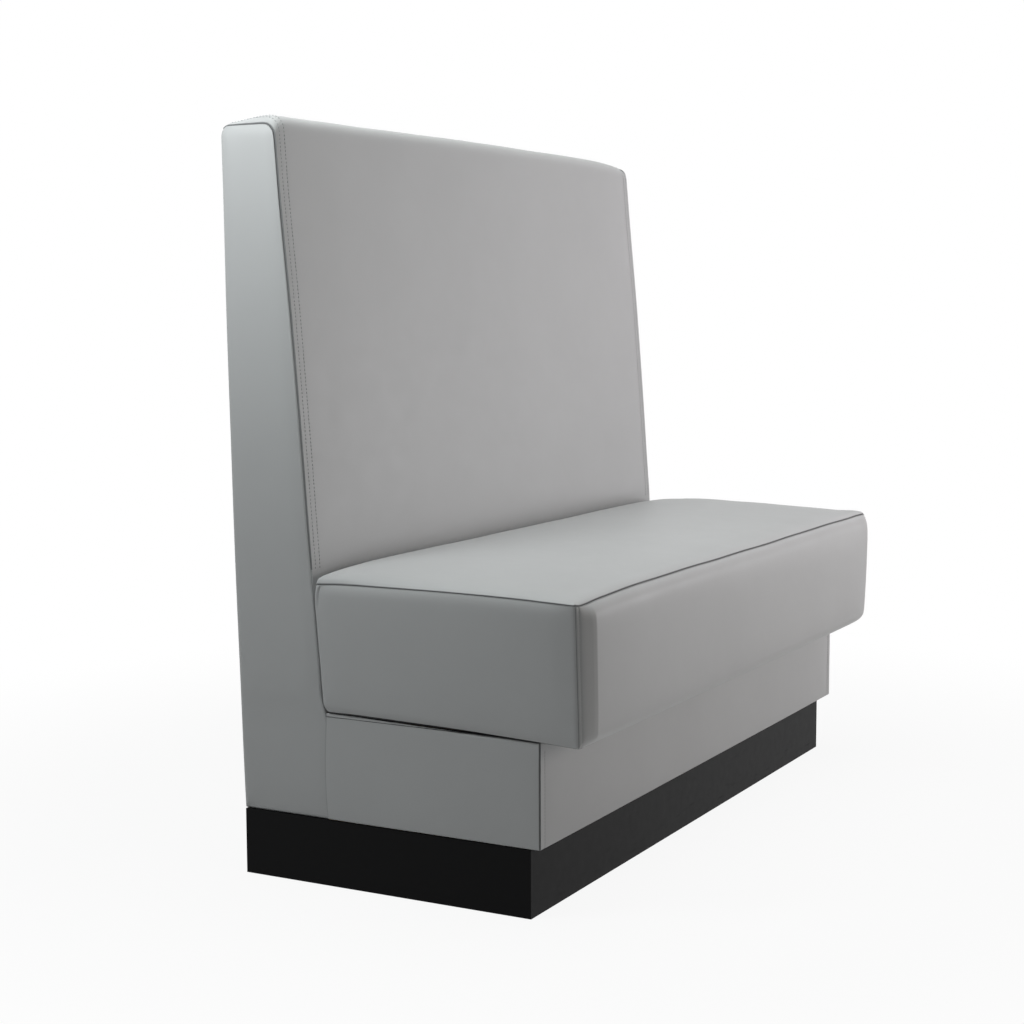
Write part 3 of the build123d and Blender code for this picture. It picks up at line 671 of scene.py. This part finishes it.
def zinc_plate():
    """Bright zinc plate with a faint blotch."""
    finish = Finish("bright_zinc_plate")
    blotch = finish.noise(260.0, 4.0, 0.6)
    colour = finish.mixed(blotch, (0.58, 0.6, 0.63), (0.7, 0.69, 0.66))
    return finish.done(colour, 0.28 + blotch * 0.2, (finish.noise(1500.0), 0.0002, 0.4), {"Metallic": 1.0})


def moulded(name, colour, rough, scale):
    """Moulded nylon, rubber or foam with a faint matt texture."""
    finish = Finish(name)
    speck = finish.noise(scale, 3.0)
    shade = finish.mixed(speck, colour, tuple(c * 0.85 for c in colour))
    return finish.done(shade, rough + speck * 0.12, (speck, 0.0003, 0.5))


def black_lining():
    """Thin black lining cloth with its plain weave."""
    finish = Finish("black_lining_cloth")
    parts = finish.node("ShaderNodeSeparateXYZ", {}, {0: finish.where})
    pitch = 0.0009
    warp, weft = (
        finish.node("ShaderNodeMath", {"operation": "SINE"}, {0: part * (2 * math.pi / pitch)})[0]
        for part in parts[:2]
    )
    weave = warp * weft * 0.5 + 0.5
    fluff = finish.noise(500.0, 3.0)
    colour = finish.mixed(weave * 0.6 + fluff * 0.4, (0.012, 0.012, 0.013), (0.04, 0.04, 0.043))
    return finish.done(colour, 0.85 + fluff * 0.1, (weave + fluff * 0.4, 0.0003, 0.6))


def grey_thread():
    """Twisted polyester thread."""
    finish = Finish("grey_thread")
    twist = finish.noise(2500.0, stretch=(1.0, 1.0, 0.4))
    return finish.done(finish.mixed(twist, (0.3, 0.31, 0.32), (0.46, 0.47, 0.48)), 0.55 + twist * 0.2)


VINYL = grey_vinyl()
THREAD = grey_thread()
LINING = black_lining()
ZINC = zinc_plate()
NODE_FINISHES = {
    "black_laminate": black_laminate(),
    "plywood": timber("sanded_plywood", (0.6, 0.44, 0.27), (0.47, 0.32, 0.18), 0, 26.0, 0.6),
    "softwood": timber("planed_softwood", (0.68, 0.5, 0.3), (0.55, 0.36, 0.19), 0, 34.0, 0.62),
    "hardboard": timber("hardboard", (0.27, 0.17, 0.1), (0.2, 0.12, 0.07), 2, 60.0, 0.55),
    "zinc_steel": ZINC,
    "nylon": moulded("natural_nylon", (0.74, 0.73, 0.69), 0.4, 900.0),
    "rubber": moulded("matt_rubber", (0.03, 0.03, 0.031), 0.75, 1200.0),
    "foam": moulded("cut_foam", (0.74, 0.7, 0.56), 0.9, 500.0),
    "wadding": moulded("fibre_wadding", (0.8, 0.8, 0.78), 0.95, 300.0),
    "grey_vinyl": VINYL,
    "black_lining": LINING,
}


def dress_frame():
    """Gives every CAD node its own finish, and the plinth's boards their eased edges."""
    for row in frame["record"]["subparts"]:
        node = frame["nodes"][row["node"]]
        node.data.materials.clear()
        node.data.materials.append(NODE_FINISHES[row["material_slot"]])
        if row["material_slot"] == "black_laminate":
            bevel = node.modifiers.new("eased_edges", "BEVEL")
            bevel.width = 0.5 * MM
            bevel.segments = 2
            bevel.limit_method = "ANGLE"


# The cushion


def turned(shares, span, radius):
    """Places along a side with both corners rounded in plan, and how far each place is drawn in."""
    length = span - 2 * radius * (1 - math.pi / 4)
    along = shares * length
    near = np.minimum(along, length - along)
    bend = radius * math.pi / 4
    angle = np.where(near < bend, math.pi / 4 - near / radius, 0)
    step = np.where(near < bend, radius - radius * np.sin(angle), near + radius - bend)
    return np.where(shares < 0.5, step, span - step), radius - radius * np.cos(angle)


def end_relief(panel):
    """The padding of an end boxing, which rolls over into its seams, and a pleat at its top rear corner."""
    from_rear, from_front, from_foot, from_top = panel.distances
    rolled = arched(from_top, 18) * arched(from_foot, 14) * shouldered(from_front, 34) * arched(from_rear, 24)
    pleat = np.exp(-((from_rear - PLEAT) / 1.4) ** 2) - 0.6 * np.exp(-((from_rear - LIP_ROW) / 1.3) ** 2)
    return 3.4 * rolled - 2.0 * pleat * eased(panel.z, 415, 436) * eased(from_top, 0, 3)


def front_relief(panel):
    """The padding of the front boxing, fuller than that of the ends."""
    from_left, from_right, from_foot, from_top = panel.distances
    rolled = arched(from_top, 20) * arched(from_foot, 16)
    return 11.0 * rolled * shouldered(from_left, 32) * shouldered(from_right, 26)


def make_cushion():
    """The lift-out box cushion: a crowned top and four boxing panels sewn to it, folded under below."""
    under = fold(3.5)
    lip, rise = under.height, SEAM.height
    foot_z = CUSHION_UNDER + lip
    slack = 2 * CUSHION_TURN * (1 - math.pi / 4)
    # Points stand close together at the seams, at the near end's shoulder and at the pleat
    xs = stations(2 * CUSHION_HALF - slack, COVER_STEP, low_rows=(LIP_ROW, *NEAR_SHOULDER), high_rows=(LIP_ROW,))
    ds = stations(CUSHION_DEPTH, 12.0, low_rows=(LIP_ROW, PLEAT))
    zs = stations(BOXING, 10.0, low=under)
    x_shares, d_shares, z_shares = xs / xs[-1], ds / ds[-1], zs / zs[-1]

    def ring(half, front, rear, front_z, end_zs, rear_z, fuller=0.0):
        """The front, rear, left and right lines round the cushion at one level, fuller at the far front corner."""
        step, drawn = turned(x_shares, 2 * half, CUSHION_TURN)
        x = step - half
        out = fuller * eased(x, 560, half)
        front_line = np.stack([x + out, REAR_Y - front(x) - out + drawn, front_z(x)], 1)
        rear_line = np.stack([x, REAR_Y - rear(x) - drawn, rear_z(x)], 1)
        near, far = rear(np.array([half]))[0], front(np.array([half]))[0]
        step, drawn = turned(d_shares, far - near, CUSHION_TURN)
        depth = near + step
        at_rear = 1 - eased(d_shares * (far - near), 0, 50)
        at_front = eased(d_shares * (far - near), far - near - 50, far - near)
        lines = [front_line, rear_line]
        for sign, end, end_z in zip((-1, 1), (0, -1), end_zs):
            line = np.stack([sign * (half - drawn), REAR_Y - depth, end_z(depth)], 1)
            line = line + at_rear[:, None] * (rear_line[end] - line[0])
            lines.append(line + at_front[:, None] * (front_line[end] - line[-1]))
        return lines

    def clear_of_back(z):
        """Depth just in front of the back's face."""
        return face_at(z) + BACK_PLAY

    top = ring(
        CUSHION_HALF,
        lambda x: SEAT_FRONT_TOP + 4.5 * from_ends(x, 35),
        lambda x: clear_of_back(455) + rise + 4.4 * (1 - from_ends(x, 22)),
        lambda x: through(SEAT_FRONT_SEAM, x) + wave(x, (0.3, 210, 0.3)),
        (lambda depth: through(SEAT_NEAR_END_SEAM, depth), lambda depth: through(SEAT_FAR_END_SEAM, depth)),
        lambda x: SEAT_REAR_SEAM + through(SEAT_REAR_RISE, x),
        fuller=5.0,
    )
    foot = ring(
        CUSHION_HALF - 0.7,
        lambda x: SEAT_FRONT_FOOT + 3.0 * from_ends(x, 60) - 2.4 * eased(x, 540, CUSHION_HALF),
        lambda x: clear_of_back(foot_z) + lip + 5.0 * (1 - from_ends(x, 18)),
        lambda x: foot_z - 3.8 + 2.6 * np.exp((x - CUSHION_HALF) / 30) - 0.8 * np.exp(-(x + CUSHION_HALF) / 20),
        (lambda depth: foot_z + through(CUSHION_END_FOOT, depth),
         lambda depth: foot_z - 1.2 * eased(depth, 440, 560) + 6.8 * (1 - eased(depth, 130, 370))),
        lambda x: foot_z + 7.4 * (1 - from_ends(x, 40)),
    )

    def upright(line, end):
        """An upright corner line: the rear ones lean in as the filling does, the far front one bulges."""
        points = straight(foot[line][end], top[line][end], z_shares)
        z = points[:, 2]
        if end == 0:
            miss = clear_of_back(z) + rise + through(REAR_CORNER_LEAN, z) - (REAR_Y - points[:, 1])
            miss = miss - miss[0] * (1 - eased(z_shares, 0, 0.06)) - miss[-1] * eased(z_shares, 0.9, 1)
            points[:, 1] -= miss
        elif line == 3:
            puffed = through(SEAT_FAR_BULGE, z) * eased(z_shares, 0, 0.03) * eased(1 - z_shares, 0, 0.03)
            points = points + puffed[:, None] * np.array([1.0, -1.0, 0.0])
        return points

    uprights = {line: (upright(line, 0), upright(line, -1)) for line in (2, 3)}
    boxing = (SEAM, SEAM, under, SEAM)
    panels = [
        Panel(
            top[1], top[0], top[2], top[3], (SEAM,) * 4, rise, outward=-1, crown=14.2,
            firm=lambda panel: 3.2 + 8 * (1 - eased(panel.depth, 140, 330)),
            least=lambda panel: 0.17 * arched(np.min(panel.distances, axis=0), 24),
        ),
        Panel(foot[0], top[0], uprights[2][1], uprights[3][1], boxing, rise, crown=1.6, press=front_relief,
              rows=((0, LIP_ROW, 1.4, 1.5), (1, LIP_ROW, 0.5, 1.3))),
        Panel(foot[1], top[1], uprights[2][0], uprights[3][0], boxing, rise, outward=-1),
        *(Panel(foot[line], top[line], *uprights[line], boxing, rise, outward=outward, crown=1.4,
                press=end_relief) for line, outward in ((2, 1), (3, -1))),
        Panel(foot[1], foot[0], foot[2], foot[3], (under,) * 4, lip,
              press=lambda panel: (panel.z - foot_z) * eased(np.min(panel.distances, axis=0), 0, 14)),
    ]
    fill_out("cushion_fill", panels)
    cushion = sewn_together("seat_cushion", panels, lined=(5,))
    finished(
        cushion, "seat", VINYL,
        ("seat_top_cover", "seat_front_boxing", "seat_rear_boxing", "seat_left_boxing", "seat_right_boxing",
         "seat_foam", "seat_edge_padding"),
    )
    cushion.data.materials.append(LINING)
    return panels


# The back


def rounded_run(points, radii):
    """A polyline through the points with each inner corner rounded."""
    path = [np.array(points[0], float)]
    for before, at, after, radius in zip(points, points[1:], points[2:], radii):
        before, at, after = (np.array(p, float) for p in (before, at, after))
        toward_before, toward_after = unit(before - at), unit(after - at)
        half = math.acos(float(np.dot(toward_before, toward_after))) / 2
        centre = at + unit(toward_before + toward_after) * radius / math.sin(half)
        first = at + toward_before * radius / math.tan(half) - centre
        last = at + toward_after * radius / math.tan(half) - centre
        turn = math.pi - 2 * half
        shares = np.linspace(0, 1, CORNER_STEPS + 1)[:, None]
        path += list(centre + (first * np.sin((1 - shares) * turn) + last * np.sin(shares * turn)) / math.sin(turn))
    path.append(np.array(points[-1], float))
    return path


def front_seam(z):
    """Depth of the seam down the front of an end cover."""
    face = np.where(z > SKIRT_TOP, face_at(z), BACK_LOW) + (JOINT_DEPTH - BACK_LOW) * (1 - eased(z, 225, 262))
    return face - joint_bow(z) - through(FRONT_SEAM_SET_BACK, z)


def head_lift(panel):
    """The padding over the back's top edge, highest at its front and gone at the rear."""
    over = eased(panel.z, BACK_SEAM - 90, BACK_SEAM - 6) * eased(panel.distances[3], -16, 66)
    return through(HEAD_LIFT, panel.x) * over * eased(panel.distances[3], 0, 10)


def cover_relief(panel):
    """The padding of an end cover, rolling over into the seam down its front."""
    from_rear, from_front, from_foot, from_top = panel.distances
    joint = 1 - 0.75 * (1 - eased(panel.z, 240, 300))
    rolled = arched(from_top, 20) * arched(from_rear, 30) * arched(from_foot, 12)
    return 3.4 * rolled * shouldered(from_front, 22) * joint


def make_back():
    """The back: one main cover up the front and over the top, an end cover on each side, a plain rear."""
    rear_fold, hem_fold = fold(12.0), fold(3.0)
    rise, lip = SEAM.height, rear_fold.height
    low = PLINTH_TOP + 0.2 + hem_fold.height
    high = BACK_SEAM - 24

    heights = np.r_[np.linspace(low, SKIRT_TOP, 16), np.linspace(SKIRT_TOP + 4, high, 90)]
    up_front = list(zip(front_seam(heights), heights, 0 * heights))
    heights = np.linspace(high, low, 90)
    down_rear = list(zip(rear_at(heights) + lip, heights, 0 * heights))
    seam = np.array([BACK_SEAM])
    corners = [(front_seam(seam)[0], BACK_SEAM, 0), (rear_at(seam)[0] + lip, BACK_SEAM, 0)]
    head = rounded_run([up_front[-1], *corners, down_rear[0]], (BACK_CORNER, BACK_REAR_CORNER))
    front_half, rear_half = 1 + CORNER_STEPS // 2, 2 + CORNER_STEPS + CORNER_STEPS // 2
    up_front = up_front + head[1:front_half + 1]
    over_top = head[front_half:rear_half + 1]
    down_rear = head[rear_half:-1] + down_rear

    fs = stations(float(run_along(up_front)[-1]), COVER_STEP, low=hem_fold)
    ts = stations(float(run_along(over_top)[-1]), 8.0, high=rear_fold)
    xs = stations(2 * BACK_HALF, COVER_STEP, low_rows=BACK_ROWS, high_rows=BACK_ROWS)
    f_shares, t_shares, x_shares = fs / fs[-1], ts / ts[-1], xs / xs[-1]

    def end_lines(x):
        """The front, top, rear and foot lines round one end of the back."""
        runs = ((up_front, f_shares), (over_top, t_shares), (down_rear[::-1], f_shares))
        front, top, rear = (sampled([point_at(x, p[0], p[1]) for p in run], shares) for run, shares in runs)
        return front, top, rear, straight(rear[0], front[0], t_shares)

    ends = left, right = end_lines(-BACK_HALF), end_lines(BACK_HALF)

    def across(line, end):
        """The line from one end of the back to the other between the same ends of two lines."""
        return straight(left[line][end], right[line][end], x_shares)

    wrap_ends = (np.concatenate([front, top[1:]]) for front, top, _, _ in ends)
    on_carried = carried_on(lip)
    panels = [
        Panel(
            across(0, 0), across(1, -1), *wrap_ends, (SEAM, SEAM, hem_fold, on_carried), rise, crown=3.0, firm=6.0,
            level=lambda panel: np.where(panel.depth > 0, eased(panel.z, 440, 490), 1), raised=head_lift,
            rows=tuple((side, place, 0.1, 2.0) for side in (0, 1) for place in BACK_ROWS),
            least=lambda panel: 0.3 * from_ends(panel.x, 30, BACK_HALF) * eased(panel.z, 980, 1090),
        ),
        *(Panel(foot, top[::-1], rear, front, (rear_fold, SEAM, hem_fold, SEAM), rise, outward=outward, crown=1.2,
                press=cover_relief) for (front, top, rear, foot), outward in zip(ends, (1, -1))),
        Panel(
            across(2, 0), across(1, -1), left[2], right[2], (rear_fold, rear_fold, hem_fold, on_carried), lip,
            outward=-1, press=lambda panel: -through(REAR_SWELL, panel.z) * eased(
                np.minimum(panel.distances[0], panel.distances[1]), 0, 14),
        ),
        Panel(across(2, 0), across(0, 0), left[3], right[3], (hem_fold,) * 4, hem_fold.height),
    ]
    fill_out("back_fill", panels)
    back = sewn_together("back_upholstery", panels)
    finished(
        back, "booth", VINYL,
        ("back_wrap_cover", "back_left_cover", "back_right_cover", "back_front_foam", "back_top_foam",
         "back_end_padding"),
    )
    return panels


# The skirt


def make_skirt():
    """The padded vinyl round the base: three panels wrapped over its edges, sewn at the two front corners."""
    steps = [0, 0.3, 0.8, 1.5, 2.4, 3.6, 6, 10, 17]
    face_zs = [*(HEM + step for step in steps), *np.linspace(HEM + 26, SKIRT_CREST - 26, 12),
               *(SKIRT_CREST - step for step in reversed(steps))]
    # A turn round the cover, as (out, z): under the board, up the face, over the top and down behind
    loop = [(BOARD_FACE, 177), (BOARD_FACE, 140), (BOARD_FACE, BOARD_FOOT), (-14, BOARD_FOOT), (-14, HEM),
            (-7, HEM), (-3.4, HEM), *((0.0, z) for z in face_zs), (-9, SKIRT_CREST), (-20, SKIRT_CREST),
            (-20, BOARD_HEAD), (BOARD_FACE, BOARD_HEAD), (BOARD_FACE, 215), (BOARD_FACE, 177)]
    tail_depth = JOINT_DEPTH + TAIL_SET_FORWARD
    sewn = {"low": FINE_SEAM, "high": FINE_SEAM}
    xs = stations(2 * SKIRT_HALF, COVER_STEP, **sewn, low_rows=(SKIRT_ROW,), high_rows=(SKIRT_ROW,))
    ds = stations(SKIRT_FRONT - tail_depth, 12.0, **sewn)
    x_shares, d_shares = xs / xs[-1], ds / ds[-1]

    def hemmed(out, z, up):
        """Height of a point of the loop with the hem drawn up a little."""
        share = min(max((z - HEM) / 60, 0), 1) if out > -4 else 1
        return z + up * (1 - share)

    def corner(sign, up):
        """The loop at a front corner."""
        return np.array([
            point_at(sign * (SKIRT_HALF + out), SKIRT_FRONT + out, hemmed(out, z, up)) for out, z in loop])

    def tail(sign):
        """The loop at the rear end: it bows along the joint and its top edge stands a little higher."""
        places = []
        for out, z in loop:
            higher = TAIL_RISE * min(max((z - 215) / 39, 0), 1) if out == 0 else 0
            places.append(point_at(sign * (SKIRT_HALF + out), tail_depth - joint_bow(z), hemmed(out, z, 3.8) + higher))
        return np.array(places)

    def kept(out, z, crest=SKIRT_CREST):
        """How much of the padding's lift is kept: all of it on the face, none on the flaps."""
        low = np.clip((z - HEM - 0.4) / 4.0, 0, 1)
        high = np.clip((crest - z) / 4, 0, 1)
        return np.where(out > -0.01, np.sqrt((1 - (1 - low) ** 2) * (1 - (1 - high) ** 2)), 0)

    def crest_of(panel):
        """The height of an end panel's top edge, which rises to the rear."""
        return SKIRT_CREST + TAIL_RISE * (1 - panel.u[:, None])

    def wrapped(first, last, shares, **more):
        """A panel wrapped over the edges of its board, between two turns of the loop."""
        low, high = (straight(first[end], last[end], shares) for end in (0, -1))
        return Panel(low, high, first, last, (FINE_SEAM, FINE_SEAM, PLAIN, PLAIN), FINE_SEAM.height, crown=1.6, **more)

    near, far = corner(-1, 2.9), corner(1, 0.2)
    panels = [
        wrapped(
            near, far, x_shares, level=lambda panel: kept(panel.depth - SKIRT_FRONT, panel.z),
            shoulders=((0, 6, 40), (1, 6, 40)), rows=((0, SKIRT_ROW, 0.15, 1.3), (1, SKIRT_ROW, 0.15, 1.3)),
        ),
        *(wrapped(
            tail(sign), front, d_shares, outward=-sign,
            level=lambda panel: kept(np.abs(panel.x) - SKIRT_HALF, panel.z, crest_of(panel)),
        ) for sign, front in ((-1, near), (1, far))),
    ]
    for panel in panels:
        crest = SKIRT_CREST if panel is panels[0] else crest_of(panel)
        share = (panel.z - HEM) / (crest - HEM)
        panel.filling = (1 - (2 * panel.u[:, None] - 1) ** 8) * (1 - (2 * share - 1) ** 2)
    skirt = sewn_together("skirt_upholstery", panels, close_ends=True)
    finished(
        skirt, "booth", VINYL,
        ("skirt_front_cover", "skirt_left_cover", "skirt_right_cover", "skirt_padding"),
    )
    return panels


# Outside back, lining and stitching


def make_outside_back():
    """The flat outside back panel's cover: vinyl drawn round the edges of its board."""
    low, high = (np.array(corner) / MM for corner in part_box("outside_back_cover"))
    edge = fold(2.2)
    lip = edge.height
    ends, levels = (low[0] + lip, high[0] - lip), (low[2] + lip, high[2] - lip)
    xs, zs = (stations(last - first, 16.0, low=edge, high=edge) for first, last in (ends, levels))

    def wall(x, z, out):
        """A point on the cover: out is 0 at the back's rear face and 1 at the cover's outer face."""
        return (x, REAR_Y - (PLINTH_TOP - z) * REAR_LEAN + 0.1 + out * (OUTSIDE_THICK - lip), z)

    def along_x(z, out):
        return straight(wall(ends[0], z, out), wall(ends[1], z, out), xs / xs[-1])

    def along_z(x, out):
        return straight(wall(x, levels[0], out), wall(x, levels[1], out), zs / zs[-1])

    def outline(out):
        return [along_x(z, out) for z in levels] + [along_z(x, out) for x in ends]

    thick = [[straight(wall(x, z, 0), wall(x, z, 1), np.linspace(0, 1, 4)) for z in levels] for x in ends]
    rim = (edge, edge, carried_on(lip), edge)
    panels = [
        Panel(*outline(1), (edge,) * 4, lip, outward=-1, crown=0.5),
        Panel(*outline(0), (PLAIN,) * 4, 0.0),
        *(Panel(along_x(z, 0), along_x(z, 1), thick[0][k], thick[1][k], rim, lip, outward=2 * k - 1)
          for k, z in enumerate(levels)),
        *(Panel(along_z(x, 0), along_z(x, 1), *thick[k], rim, lip, outward=1 - 2 * k) for k, x in enumerate(ends)),
    ]
    panels[0].filling = panels[0].plain_filling()
    cover = sewn_together("outside_back_upholstery", panels)
    finished(cover, "booth", VINYL, ("outside_back_cover",))


def spaced_along(line, ways, pitch, start, short):
    """Points, directions and ways outward every pitch along a line, from start to this far short of its end."""
    run = run_along(line)
    places = np.arange(start, run[-1] - short, pitch)
    heading = unit(between(places + 0.5, run, line) - between(places - 0.5, run, line))
    return between(places, run, line), heading, unit(between(places, run, ways))


def rods(points, heading, outward, profile, radius, sides=6):
    """Small bent rods, such as stitches or staples: profile gives (along, out) places for each one."""
    profile = np.array(profile, float)
    lean = unit(np.gradient(profile, axis=0))
    along, lift, run, climb = np.hstack([profile, lean]).T[..., None]
    forward, out, side = (ways[:, None] for ways in (heading, outward, np.cross(heading, outward)))
    centre = points[:, None] + forward * along + out * lift
    normal = out * run - forward * climb
    angles = np.arange(sides)[:, None] * 2 * math.pi / sides
    ring = side[:, :, None] * np.cos(angles) + normal[:, :, None] * np.sin(angles)
    vertices = centre[:, :, None] + ring * radius
    faces = []
    for rod in np.arange(vertices[..., 0].size).reshape(vertices.shape[:3]).tolist():
        for low, high in zip(rod, rod[1:]):
            faces += zip(low, high, high[1:] + high[:1], low[1:] + low[:1])
        faces += [rod[0], rod[-1][::-1]]
    return vertices.reshape(-1, 3).tolist(), faces


def small_pieces(name, groups, body, material):
    """One mesh of many small rods."""
    vertices, faces = [], []
    for group_vertices, group_faces in groups:
        faces += [[len(vertices) + k for k in face] for face in group_faces]
        vertices += group_vertices
    mesh = meshed(name, vertices, faces)
    for polygon in mesh.polygons:
        polygon.use_smooth = len(polygon.vertices) == 4
    finished(added(name, mesh), body, material, levels=0)


def stitched(name, panel, distances, body, spacing, profile, radius, shown=None):
    """Rows of topstitching beside both sides of a panel, where the row's line is shown."""
    rows = []
    for side in (0, 1):
        for distance in distances:
            line, ways = panel.line_beside(side, distance)
            if shown:
                line, ways = line[shown(line)], ways[shown(line)]
            rows.append(rods(*spaced_along(line, ways, *spacing), profile, radius))
    small_pieces(name, rows, body, THREAD)


def make_stitching(cushion, back, skirt):
    """The rows of topstitching: two beside each front seam of the back, one at each front corner below."""

    def on_skirt_face(line):
        out, z = REAR_Y - line[:, 1] - SKIRT_FRONT, line[:, 2]
        return (out > 0) & (out < 8) & (z > HEM + 3) & (z < 250)

    stitched("back_topstitching", back[0], BACK_ROWS, "booth", (5.6, 2.0, 14.0), SHORT_STITCH, 0.55,
             lambda line: line[:, 2] > 462)
    stitched("cushion_topstitching", cushion[1], (LIP_ROW,), "seat", (5.0, 10.0, 6.0), STITCH, 0.3)
    stitched("skirt_topstitching", skirt[0], (SKIRT_ROW,), "booth", (5.0, 2.0, 6.0), STITCH, 0.3,
             on_skirt_face)


def make_underlining():
    """The black lining stretched under the cushion's bottom board, stapled round its edge."""
    low, high = (np.array(corner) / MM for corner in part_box("seat_underlining"))
    gx, gy = np.meshgrid(np.linspace(low[0], high[0], 80), np.linspace(low[1], high[1], 32), indexing="ij")
    inside = np.minimum(np.minimum(gx - low[0], high[0] - gx), np.minimum(gy - low[1], high[1] - gy))
    pull = 0.15 * np.sin(2 * np.pi * (gx + gy) / 50) * (1 - eased(inside, 0, 40))
    tops = high[2] - 0.05 + 0 * gx
    lows = np.maximum(low[2] + 0.1, high[2] - 0.55 - 0.25 * eased(inside, 0, 60) + pull)
    points = np.concatenate([np.stack([gx, gy, z], 2).reshape(-1, 3) for z in (lows, tops)])
    number = np.arange(gx.size).reshape(gx.shape)
    quads = quads_of(number)
    faces = [*quads[:, [0, 3, 2, 1]].tolist(), *(quads + gx.size).tolist()]
    rim = np.r_[number[:, 0], number[-1, 1:], number[-2::-1, -1], number[0, -2:0:-1]].tolist()
    faces += [(a, b, b + gx.size, a + gx.size) for a, b in zip(rim, rim[1:] + rim[:1])]
    mesh = meshed("underlining_cloth", points, faces)
    mesh.polygons.foreach_set("use_smooth", [True] * len(mesh.polygons))
    cloth = added("underlining_cloth", mesh)
    finished(cloth, "seat", LINING, ("seat_underlining",), levels=0)

    z = high[2] - 0.6
    sides, ends = ((low[k] + STAPLE_INSET, high[k] - STAPLE_INSET) for k in (1, 0))
    staples = [
        *(((x, y, z), (1, 0, 0)) for x in np.arange(low[0] + 20, high[0] - 15, STAPLE_PITCH) for y in sides),
        *(((x, y, z), (0, 1, 0)) for y in np.arange(low[1] + 30, high[1] - 25, STAPLE_PITCH) for x in ends),
    ]
    points, heading = (np.array(part, float) for part in zip(*staples))
    outward = np.tile((0.0, 0.0, -1.0), (len(points), 1))
    group = rods(points, heading, outward, STAPLE, 0.3, sides=4)
    small_pieces("underlining_staples", [group], "seat", ZINC)


# Camera, light and floor


def set_camera():
    """The photograph's viewpoint: 3.3 m off, a little above the seat, turned 62 degrees from the rear."""
    yaw, pitch, roll = math.radians(61.613), math.radians(6.414), math.radians(-0.212)
    ahead = Vector((math.sin(yaw) * math.cos(pitch), math.cos(yaw) * math.cos(pitch), -math.sin(pitch)))
    right = Vector((math.cos(yaw), -math.sin(yaw), 0))
    up = right.cross(ahead)
    right, up = (right * math.cos(roll) + up * math.sin(roll), up * math.cos(roll) - right * math.sin(roll))
    lens = bpy.data.cameras.new("camera")
    lens.sensor_width = 36.0
    lens.lens = 68.394
    camera = added("camera", lens)
    turn = Matrix((right, up, -ahead)).transposed().to_4x4()
    camera.matrix_world = Matrix.Translation((-2.9547, -1.4605, 0.8765)) @ turn
    bpy.context.scene.camera = camera


def set_stage():
    """White surroundings, a pale floor that takes the shadow, and soft boxes above and beside."""
    scene = bpy.context.scene
    scene.world = bpy.data.worlds.new("white_surround")
    sky = Nodes(scene.world)
    lit = sky.node("ShaderNodeBackground", {}, {"Color": (0.93, 0.96, 1.0), "Strength": 0.02})[0]
    white = sky.node("ShaderNodeBackground", {}, {"Color": (1.0, 1.0, 1.0)})[0]
    sky.either(sky.white_rays(), lit, white, "ShaderNodeOutputWorld")

    corners = [(x * FLOOR_REACH, y * FLOOR_REACH, 0) for x, y in ((-1, -1), (1, -1), (1, 1), (-1, 1))]
    floor = added("floor", meshed("floor", corners, [(0, 1, 2, 3)]))
    finish = Finish("pale_floor")
    away = finish.node("ShaderNodeVectorMath", {"operation": "LENGTH"}, {0: finish.where})[1]
    matt = finish.node("ShaderNodeBsdfDiffuse", {}, {"Color": (0.7, 0.7, 0.7)})[0]
    glow = finish.node("ShaderNodeEmission", {}, {"Color": (1.0, 1.0, 1.0), "Strength": 1.0})[0]
    share = finish.white_rays() * finish.spread(away, 0.7, 1.8, 0.92, 1.0)
    finish.either(share, matt, glow, "ShaderNodeOutputMaterial")
    floor.data.materials.append(finish.owner)

    for name, (location, target, width, height, power, colour) in LAMPS.items():
        light = bpy.data.lights.new(name, "AREA")
        light.shape = "RECTANGLE"
        light.size, light.size_y = width, height
        light.energy, light.color = power, colour
        lamp = added(name, light)
        lamp.location = location
        lamp.rotation_euler = (Vector(target) - Vector(location)).to_track_quat("-Z", "Y").to_euler()
    scene.view_settings.view_transform = "Standard"


set_camera()
set_stage()
dress_frame()
cushion_panels = make_cushion()
back_panels = make_back()
skirt_panels = make_skirt()
make_outside_back()
make_stitching(cushion_panels, back_panels, skirt_panels)
make_underlining()
